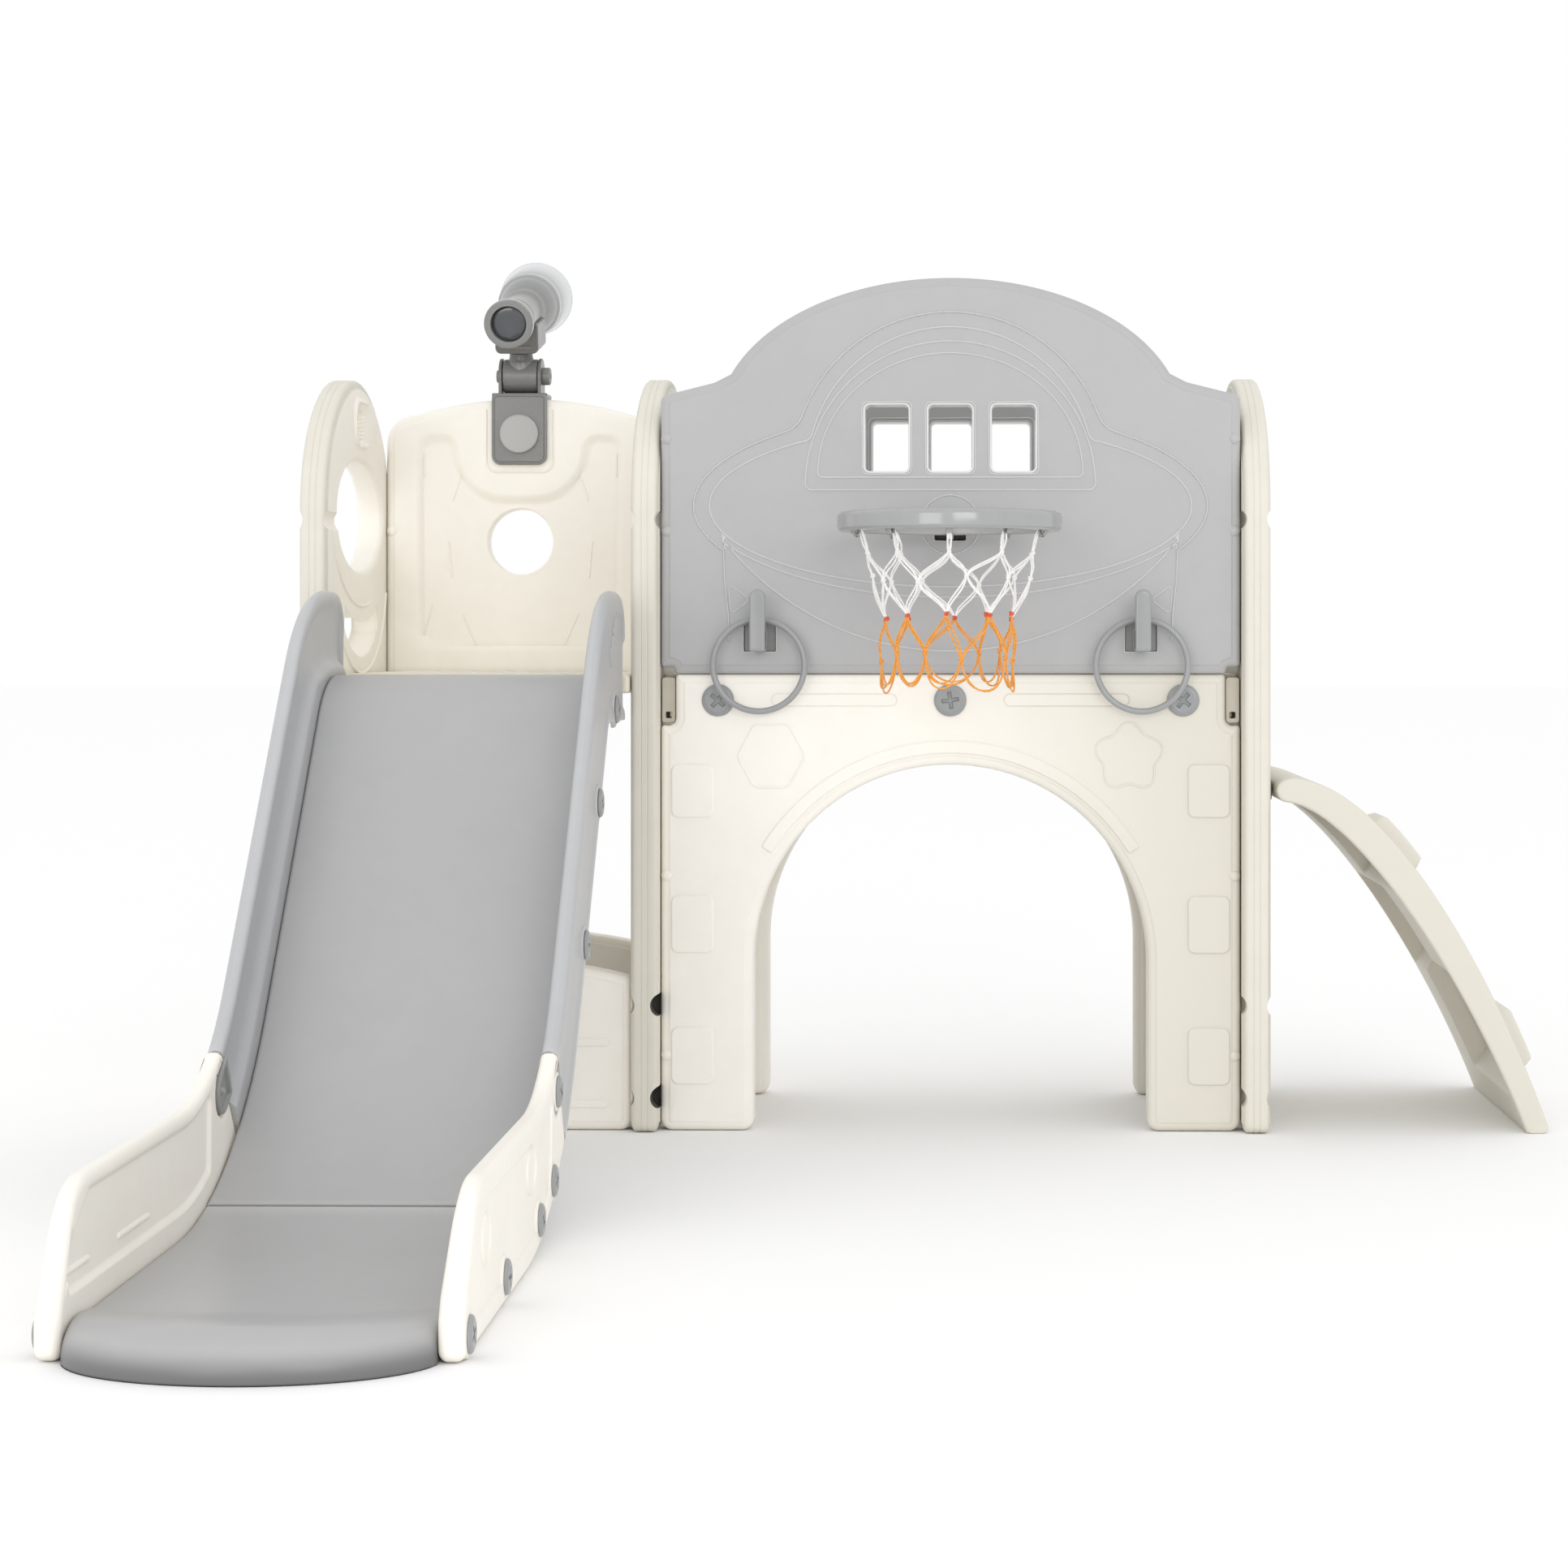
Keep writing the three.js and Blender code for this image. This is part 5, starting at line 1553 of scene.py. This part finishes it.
def make_net():
    """Rows of diamonds: twin cords run from knot to knot, half a pitch aside at every row."""
    rng = np.random.default_rng(11)
    rows = (
        (HOOP.z0 - 4, NET_TOP_RADIUS, 0, 0),
        (729, 105, 0, 0.03),
        (697, 95, 0.5, 0.16),
        (652, 80, 0, 0.13),
        (604, 79, 0.5, 0.24),
    )
    pitch = 2 * pi / NET_COUNT
    white, orange, ties = Shape(), Shape(), Shape()
    knots = []
    for z, radius, shift, loose in rows:
        row = []
        for k in range(NET_COUNT):
            aside, up, out = rng.uniform(-loose, loose, 3)
            row.append((pitch * (k + shift + aside) - pi / 2, z + 32 * up, radius + 26 * out))
        knots.append(row)

    def cord(target, a, b, aside, thick, sag=0.0, bow=0.0):
        """One cord from knot a to knot b, pushed sideways and outwards at its middle."""
        b = nearest_turn(b, a[0])
        path = []
        for t in np.linspace(0, 1, 14):
            turn = a[0] + (b[0] - a[0]) * (t - 0.07 * sin(2 * pi * t)) + aside * sin(pi * t)
            z = a[1] + (b[1] - a[1]) * t - sag * sin(pi * t) ** 0.8
            path.append(net_point(turn, z, a[2] + (b[2] - a[2]) * t + bow * sin(pi * t)))
        target.merge(tube(path, thick, 7, 0.14))

    def pair(target, a, b, thick, sag=0.0, bow=0.0):
        for way in (-1, 1):
            cord(target, a, b, way * rng.uniform(0.014, 0.034), thick, sag, bow + rng.uniform(-1.6, 1.6))

    for k in range(NET_COUNT):
        top, hang = knots[0][k], knots[1][k]
        pair(white, (top[0], top[1] + 6, top[2]), hang, 1.15)
        for near in (k - 1, k):
            pair(white, hang, wrapped(knots[2], near), 1.05)
        for near in (k, k + 1):
            pair(white, knots[2][k], wrapped(knots[3], near), 1.05, 0, 2)
        for near in (k - 1, k):
            pair(orange, knots[3][k], wrapped(knots[4], near), 1.05, 0, 3)
        beside = wrapped(knots[4], k + 1)
        for drop, out in ((rng.uniform(34, 44), 2.0), (rng.uniform(30, 42), -1.5)):
            cord(orange, knots[4][k], beside, rng.uniform(-0.06, 0.06), 1.1, drop, out)
    for row, target, size in ((1, white, 2.2), (2, white, 2.5), (3, ties, 2.6), (4, orange, 2.7)):
        for turn, z, radius in knots[row]:
            target.merge(knot_ball(net_point(turn, z, radius), size))
    piece("net_white", white, WHITE_CORD, ["hoop_net"])
    piece("net_orange", orange, ORANGE_CORD, ["hoop_net"])
    piece("net_ties", ties, TIE_CORD, ["hoop_net"])


def wrapped(row, k):
    return row[k % len(row)]


def nearest_turn(point, turn):
    shift = round((turn - point[0]) / (2 * pi))
    return (point[0] + 2 * pi * shift, point[1], point[2])


def knot_ball(centre, radius):
    """A small overhand knot: a fat three-lobed loop."""
    path = []
    for t in np.linspace(0, 2 * pi, 28):
        r = radius * (0.62 + 0.28 * cos(3 * t))
        z = centre[2] + radius * 0.8 * sin(3 * t)
        path.append((centre[0] + r * cos(2 * t), centre[1] + r * sin(2 * t), z))
    return tube(path, radius * 0.44, 8)


make_net()


# ---- hooks and toss rings ----
def hook_section(half, z0, z1, y):
    """The hook's arm across X and Z: square below, round on top."""
    points = [(-half + 2.5, y, z0), (half - 2.5, y, z0), (half - 0.7, y, z0 + 0.7), (half, y, z0 + 2.5)]
    points += [(half * cos(t), y, z1 - half + half * sin(t)) for t in np.linspace(0, pi, 10)]
    return points + [(-half, y, z0 + 2.5), (-half + 0.7, y, z0 + 0.7)]


HOOK_TIP = [(3.2, 0), (1.7, 0.4), (0.6, 1.3), (0, 3), (0, 13), (0.6, 14.7), (1.7, 15.6), (3.2, 16)]


def make_hooks():
    half = 10
    for which in ("left", "right"):
        span = Span(f"ring_hook_{which}")
        shape = Shape()
        shape.loft([hook_section(half, 609, 645, y) for y in (10, -6, -30, span.y0 + 4)])
        outline = [(-half, 609, 3.5), (half, 609, 3.5)] + arc(0, span.z1 - half, half, half, 0, 180, 16)
        shape.merge(facing_front(panel(outline, [], 16, profile=HOOK_TIP), span.y0))
        shape.merge(facing_front(slab(rectangle(-half - 3, half + 3, 610, 648, 3), 8, 2), 9))
        shifted(shape, span.x)
        piece(f"hook_{which}", shape, SHINY, [f"ring_hook_{which}"])
        seat = slab(rectangle(-19.8, 19.8, 609.2, 647.8, 1), span.y1 - 5, 0.8)
        shifted(facing_front(seat, 5), span.x)
        piece(f"hook_{which}_plug", seat, SOCKET_GRAY, [f"ring_hook_{which}"])


make_hooks()


def make_rings():
    for which in ("left", "right"):
        span = Span(f"toss_ring_{which}")
        major = (span.x1 - span.x0) / 2 - 4
        turns = np.linspace(0, 2 * pi, 20, endpoint=False)
        profile = [(major + 4 * cos(t), 4 * sin(t)) for t in turns]
        shape = ring_lathe(profile, 112, "Y")
        shifted(shape, span.x, span.y, span.z)
        piece(f"ring_{which}", shape, SHINY, [f"toss_ring_{which}"], body=f"{which}_ring")


make_rings()

# ---- telescope ----
PIN = Span("clevis_pin")
TILT = radians(13)
TUBE_AXIS = 88
tilted = Matrix.Translation((SCOPE_X, 410, 993)) @ Matrix.Rotation(TILT, 4, "X")


def placed(shape, move):
    shape.points = [tuple(move @ Vector(p)) for p in shape.points]
    return shape


def make_bracket():
    span = Span("telescope_bracket")
    shape = Shape()
    plate = [(-38.5, 868, 13), (38.5, 868, 13), (38.5, 967.8, 7), (-38.5, 967.8, 7)]
    seam = outline_ridge([(-34.5, 872, 9), (34.5, 872, 9), (34.5, 963, 4), (-34.5, 963, 4)], 1.4, -0.5)
    made = panel(plate, [], 6, [seam], (), [(1.8, 0), (0.6, 0.4), (0, 1.4), (0, 5.4), (0.6, 6)])
    shape.merge(facing_front(made, span.y0))
    floor = slab(rectangle(-38.5, 38.5, 961.4, 968, 2), span.y1 - span.y0 - 2, 1.2)
    shape.merge(facing_front(floor, span.y0 + 2))
    cheek = [(388, 962, 3), (432, 962, 3)] + arc(410, 993, 25, 25, -20, 200, 26)
    eye = (hole(circle(410, 993, 7.3, 24)), plain_edge(4.5, 0.6))
    for x in (-29.5, 25):
        shape.merge(facing_side(slab(cheek, 4.5, 1.1, [eye]), x))
    shifted(shape, SCOPE_X)
    piece("scope_bracket", shape, DARK, ["telescope_bracket"])
    cap = Span("bracket_cap")
    front = [(0, 0), (24.6, 0), (25.9, 0.4), (26.8, 1.3), (27, 2.5)]
    disc = turned_lathe([(r, cap.y0 + y) for r, y in front] + [(27, cap.y1), (0, cap.y1)], 64, "Y")
    shifted(disc, cap.x, 0, cap.z)
    piece("scope_bracket_cap", disc, CAP_GRAY, ["bracket_cap"])
    head = [(0, 0), (7.6, 0), (8.6, 0.6), (9, 1.6), (9, 4.7), (7, 4.9)]
    button = [(7, 11), (12.3, 10.9), (12.3, 2.4), (11.6, 0.8), (10, 0), (4, 0), (3.4, 1.4), (0, 1.4)]
    pin = [(r, PIN.x0 + x) for r, x in head] + [(r, PIN.x1 - x) for r, x in button]
    shape = turned_lathe(pin, 40, "X")
    shifted(shape, 0, PIN.y, PIN.z)
    piece("scope_pin", shape, DARK, ["clevis_pin"])


make_bracket()


def make_swivel():
    end = [(7.3, 24), (22, 24), (23.2, 23.5), (23.8, 22)]
    shape = ring_lathe([(r, -x) for r, x in end] + end[::-1], 56, "X")
    neck = [
        (0, 12), (20.5, 12), (19.4, 20), (17.2, 24), (16.2, 28), (16, 33), (14.5, 33.6), (14.5, 35),
        (16, 35.4), (16, 37), (0, 37),
    ]
    shape.merge(turned_lathe(neck, 44))
    placed(shape, tilted)
    piece("scope_swivel", shape, DARK, ["swivel_base"], body="swivel")


make_swivel()


def make_saddle():
    """The cradle under the tube: a block with a round trough and soft corners."""
    trough = arc(0, TUBE_AXIS, 27.4, 27.4, 201, 339, 26)
    outline = [(-30, 37.4, 8), (30, 37.4, 8), (30, 78, 2.2)] + trough[::-1] + [(-30, 78, 2.2)]
    ribs = [level(rectangle(-22, 22, 43, 49, 2.8), 1.0, 1.2, 3)]
    shape = facing_front(panel(outline, [], 84, ribs, ribs, plain_edge(84, 2.6)), -42)
    placed(shape, tilted)
    piece("scope_saddle", shape, DARK, ["telescope_saddle"], body="telescope")


make_saddle()


def make_tube():
    outline = [
        (24, -113.6), (24.8, -115), (31.5, -115), (32.9, -114.4), (33.5, -113), (33.5, -101), (32.8, -99.6),
        (31.6, -99), (31.2, -96), (29.4, -91), (26.8, -82), (26.2, -78), (26.4, -74), (27, -72), (27, -56),
        (26.4, -55), (26.4, -53.6), (27, -52.6), (27, 40), (27.2, 47), (28.4, 50), (28.4, 54), (29.6, 57),
        (33, 66), (37.4, 76), (40, 84), (40.6, 90), (41.4, 92), (44, 94), (44.4, 96), (44.4, 110),
        (44.9, 113), (46.4, 118), (48.2, 140), (50.6, 168), (51.2, 172), (52, 174), (52, 181),
        (51.2, 182.6), (49.8, 183),
        (47.2, 183), (46, 181.6), (45, 168), (42, 120), (40, 110), (25, 56), (22, 46), (22, -90), (24, -94),
    ]
    shape = ring_lathe(outline, 96, "Y")
    shifted(shape, 0, 0, TUBE_AXIS)
    placed(shape, tilted)
    piece("scope_tube", shape, TUBE_GRAY, ["telescope_tube"], body="telescope", crease=radians(40))
    for name, radius, y, bulge in (("eyepiece", 23.6, -104, -2.4), ("objective", 43.4, 172, 3.0)):
        arcs = [(radius * sin(t), y + bulge * cos(t)) for t in np.linspace(0, pi / 2, 9)]
        back = y + (1.5 if bulge < 0 else -1.5)
        lens = turned_lathe(arcs + [(radius, back), (0, back)], 64, "Y")
        shifted(lens, 0, 0, TUBE_AXIS)
        placed(lens, tilted)
        piece(f"scope_{name}_lens", lens, LENS, [f"{name}_lens"], body="telescope")


make_tube()


# ---- climber ----
def bezier(a, b, c, d, count):
    a, b, c, d = (np.array(p, float) for p in (a, b, c, d))
    line = []
    for t in np.linspace(0, 1, count):
        s = 1 - t
        line.append(tuple(s**3 * a + 3 * t * s**2 * b + 3 * t * t * s * c + t**3 * d))
    return line


def climber_lines():
    """Upper and lower lines in X and Z from the hook end to the foot, with equal counts."""
    x, top, foot = CLIMBER.x0, CLIMBER_TOP, CLIMBER.x1
    over = bezier((x + 24, top), (x + 150, top - 10), (x + 285, top - 270), (foot, 6), 64)
    under = bezier((x + 14, top - 31), (x + 98, top - 38), (x + 243, top - 256), (foot - 28, 0), 64)
    return over, under


CLIMBER_TOP = 449


def smooth_box(value, low, high, ease):
    """1 between low and high, 0 outside, with soft shoulders."""
    up = min(1.0, max(0.0, (value - low) / ease))
    down = min(1.0, max(0.0, (high - value) / ease))
    step = min(up, down)
    return step * step * (3 - 2 * step)


def make_climber():
    over, under = (evenly(line, 150) for line in climber_lines())
    y0, y1 = CLIMBER.y0, CLIMBER.y1
    edge = [0, 0.4, 1.2, 2.5, 4.5, 9]
    ys = [y0 + e for e in edge] + list(np.linspace(y0 + 12, y1 - 12, 100)) + [y1 - e for e in reversed(edge)]
    middle = (y0 + y1) / 2
    lengths_over = run_lengths(over)
    lengths_under = run_lengths(under)

    def rounding(y):
        e = min(y - y0, y1 - y)
        r = 4.5
        return r - sqrt(max(0.0, r * r - (r - min(e, r)) ** 2))

    def run_at(line, lengths, z):
        """How far along a line it comes down to height z."""
        return float(np.interp(-z, -line[:, 1], lengths))

    hold_heights = ((360, -1), (235, 1), (112, -1))
    holds = [(run_at(over, lengths_over, z), middle + side * 105) for z, side in hold_heights]
    pocket_bounds = ((404, 306, y0 + 7, y1 - 135), (302, 172, y0 + 135, y1 - 9), (206, 44, y0 + 7, y1 - 120))
    pockets = []
    for top_z, low_z, from_y, to_y in pocket_bounds:
        low, high = (run_at(under, lengths_under, z) for z in (top_z, low_z))
        pockets.append((low, high, from_y, to_y))

    def top_height(s, y):
        """Foot holds on the near and far side in turn, on a shallow field between the ladder's rims."""
        rise = -2.0 * smooth_box(y, y0 + 26, y1 - 26, 10) * smooth_box(s, 60, lengths_over[-1] - 34, 18)
        for run, across in holds:
            block = smooth_box(y, across - 59, across + 59, 9) * smooth_box(s, run - 46, run + 46, 14)
            groove = smooth_box(y, across - 34, across + 34, 5) * smooth_box(abs(s - run), 6, 14, 4)
            rise += 20 * block - 2.2 * groove * block
        return rise

    def under_depth(s, y):
        """Deep pockets behind the holds, with ribs between them."""
        depth = 0.0
        for low, high, from_y, to_y in pockets:
            depth += 24 * smooth_box(s, low, high, 22) * smooth_box(y, from_y, to_y, 8)
        return depth

    def surface(line, lengths, field, sign):
        way = np.gradient(line, axis=0)
        way /= np.hypot(way[:, 0], way[:, 1])[:, None]
        out = np.stack((-way[:, 1], way[:, 0]), 1) * sign
        rows = []
        for (x, z), (ox, oz), s in zip(line, out, lengths):
            row = []
            for y in ys:
                h = field(s, y) - rounding(y)
                row.append((x + ox * h, y, z + oz * h))
            rows.append(row)
        return rows

    top = surface(over, lengths_over, top_height, 1)
    low = surface(under, lengths_under, lambda s, y: -under_depth(s, y), -1)
    nose = []
    a, b = over[0], under[0]
    for t in np.linspace(0, 1, 10)[1:-1]:
        turn = pi * t
        x = CLIMBER.x0 + 14 + 10 * (1 - t) - (13.5 + 8 * (1 - t)) * sin(turn)
        z = (a[1] + b[1]) / 2 + (a[1] - b[1]) / 2 * cos(turn)
        nose.append([(x + rounding(y) * sin(turn), y, z - rounding(y) * cos(turn)) for y in ys])
    foot = []
    a, b = np.array(over[-1]), np.array(under[-1])
    for t in np.linspace(0, 1, 6)[1:-1]:
        p = a + (b - a) * t
        foot.append([(float(p[0]), y, max(float(p[1]) - 5.5 * sin(pi * t) ** 0.5, 0.0)) for y in ys])
    loops = nose[::-1] + top + foot + low[::-1]
    shape = Shape()
    shape.grid(loops, along=True)
    for end in (0, -1):
        ring = [row[end] for row in loops]
        flat = np.array([(p[0], p[2]) for p in ring])
        made, _, triangles = filled([flat], [])
        shape.add([(u, ring[0][1], v) for u, v in made], triangles.tolist())
    piece("climber_shell", shape, IVORY, ["climber_ladder"], crease=radians(50))
    span = Span("climber_hook_plate")
    plate = slab(rectangle(span.y0, span.y1, span.z0, span.z1, 3), span.x1 - span.x0, 1.5)
    facing_side(plate, span.x0)
    piece("climber_joint_plate", plate, DARK, ["climber_hook_plate"])


make_climber()


# ---- stage, light and camera ----
def make_stage():
    mesh = bpy.data.meshes.new("floor")
    soup = bmesh.new()
    profile = [(-9.0, 0.0), (0.0, 0.0), (40.0, 0.0)]
    rows = [[soup.verts.new((x, y, z - 0.0005)) for y, z in profile] for x in (-30.0, 30.0)]
    for k in range(len(profile) - 1):
        soup.faces.new((rows[0][k], rows[1][k], rows[1][k + 1], rows[0][k + 1])).smooth = True
    soup.to_mesh(mesh)
    soup.free()
    floor = bpy.data.objects.new("floor", mesh)
    bpy.context.scene.collection.objects.link(floor)
    material = bpy.data.materials.new("pale_floor")
    material.use_nodes = True
    shader = material.node_tree.nodes["Principled BSDF"]
    shader.inputs["Base Color"].default_value = (0.985, 0.985, 0.985, 1)
    shader.inputs["Roughness"].default_value = 0.9
    shader.inputs["Specular IOR Level"].default_value = 0.1
    mesh.materials.append(material)


def area_light(name, place, target, size, power):
    lamp = bpy.data.lights.new(name, "AREA")
    lamp.shape = "RECTANGLE"
    lamp.size, lamp.size_y = size
    lamp.energy = power
    made = bpy.data.objects.new(name, lamp)
    made.location = place
    made.rotation_euler = (Vector(target) - Vector(place)).to_track_quat("-Z", "Y").to_euler()
    bpy.context.scene.collection.objects.link(made)


def make_light():
    world = bpy.data.worlds.new("studio")
    bpy.context.scene.world = world
    world.use_nodes = True
    world.node_tree.nodes["Background"].inputs["Color"].default_value = (1, 1, 1, 1)
    world.node_tree.nodes["Background"].inputs["Strength"].default_value = 1.0
    area_light("key", (2.6, -9.0, 2.6), (-0.3, 0, 0.5), (4.0, 3.0), 135)
    area_light("fill", (-3.0, -8.6, 1.6), (-0.3, 0, 0.5), (3.6, 3.0), 88)
    bpy.context.scene.view_settings.view_transform = "Standard"
    bpy.context.scene.view_settings.look = "None"


CAMERA_PLACE = (19.4, -3999.5, 622)
CAMERA_YAW = 0.01536
CAMERA_LENS = 72.3634
CAMERA_SHIFT = (-0.084886, -0.091097)


def make_camera():
    camera = bpy.data.cameras.new("camera")
    camera.sensor_width = 36
    camera.lens = CAMERA_LENS
    camera.shift_x, camera.shift_y = CAMERA_SHIFT
    camera.clip_end = 60
    made = bpy.data.objects.new("camera", camera)
    made.location = (ORIGIN + Vector(CAMERA_PLACE)) * MM
    made.rotation_euler = (pi / 2, 0, CAMERA_YAW)
    bpy.context.scene.collection.objects.link(made)
    bpy.context.scene.camera = made


make_stage()
make_light()
make_camera()
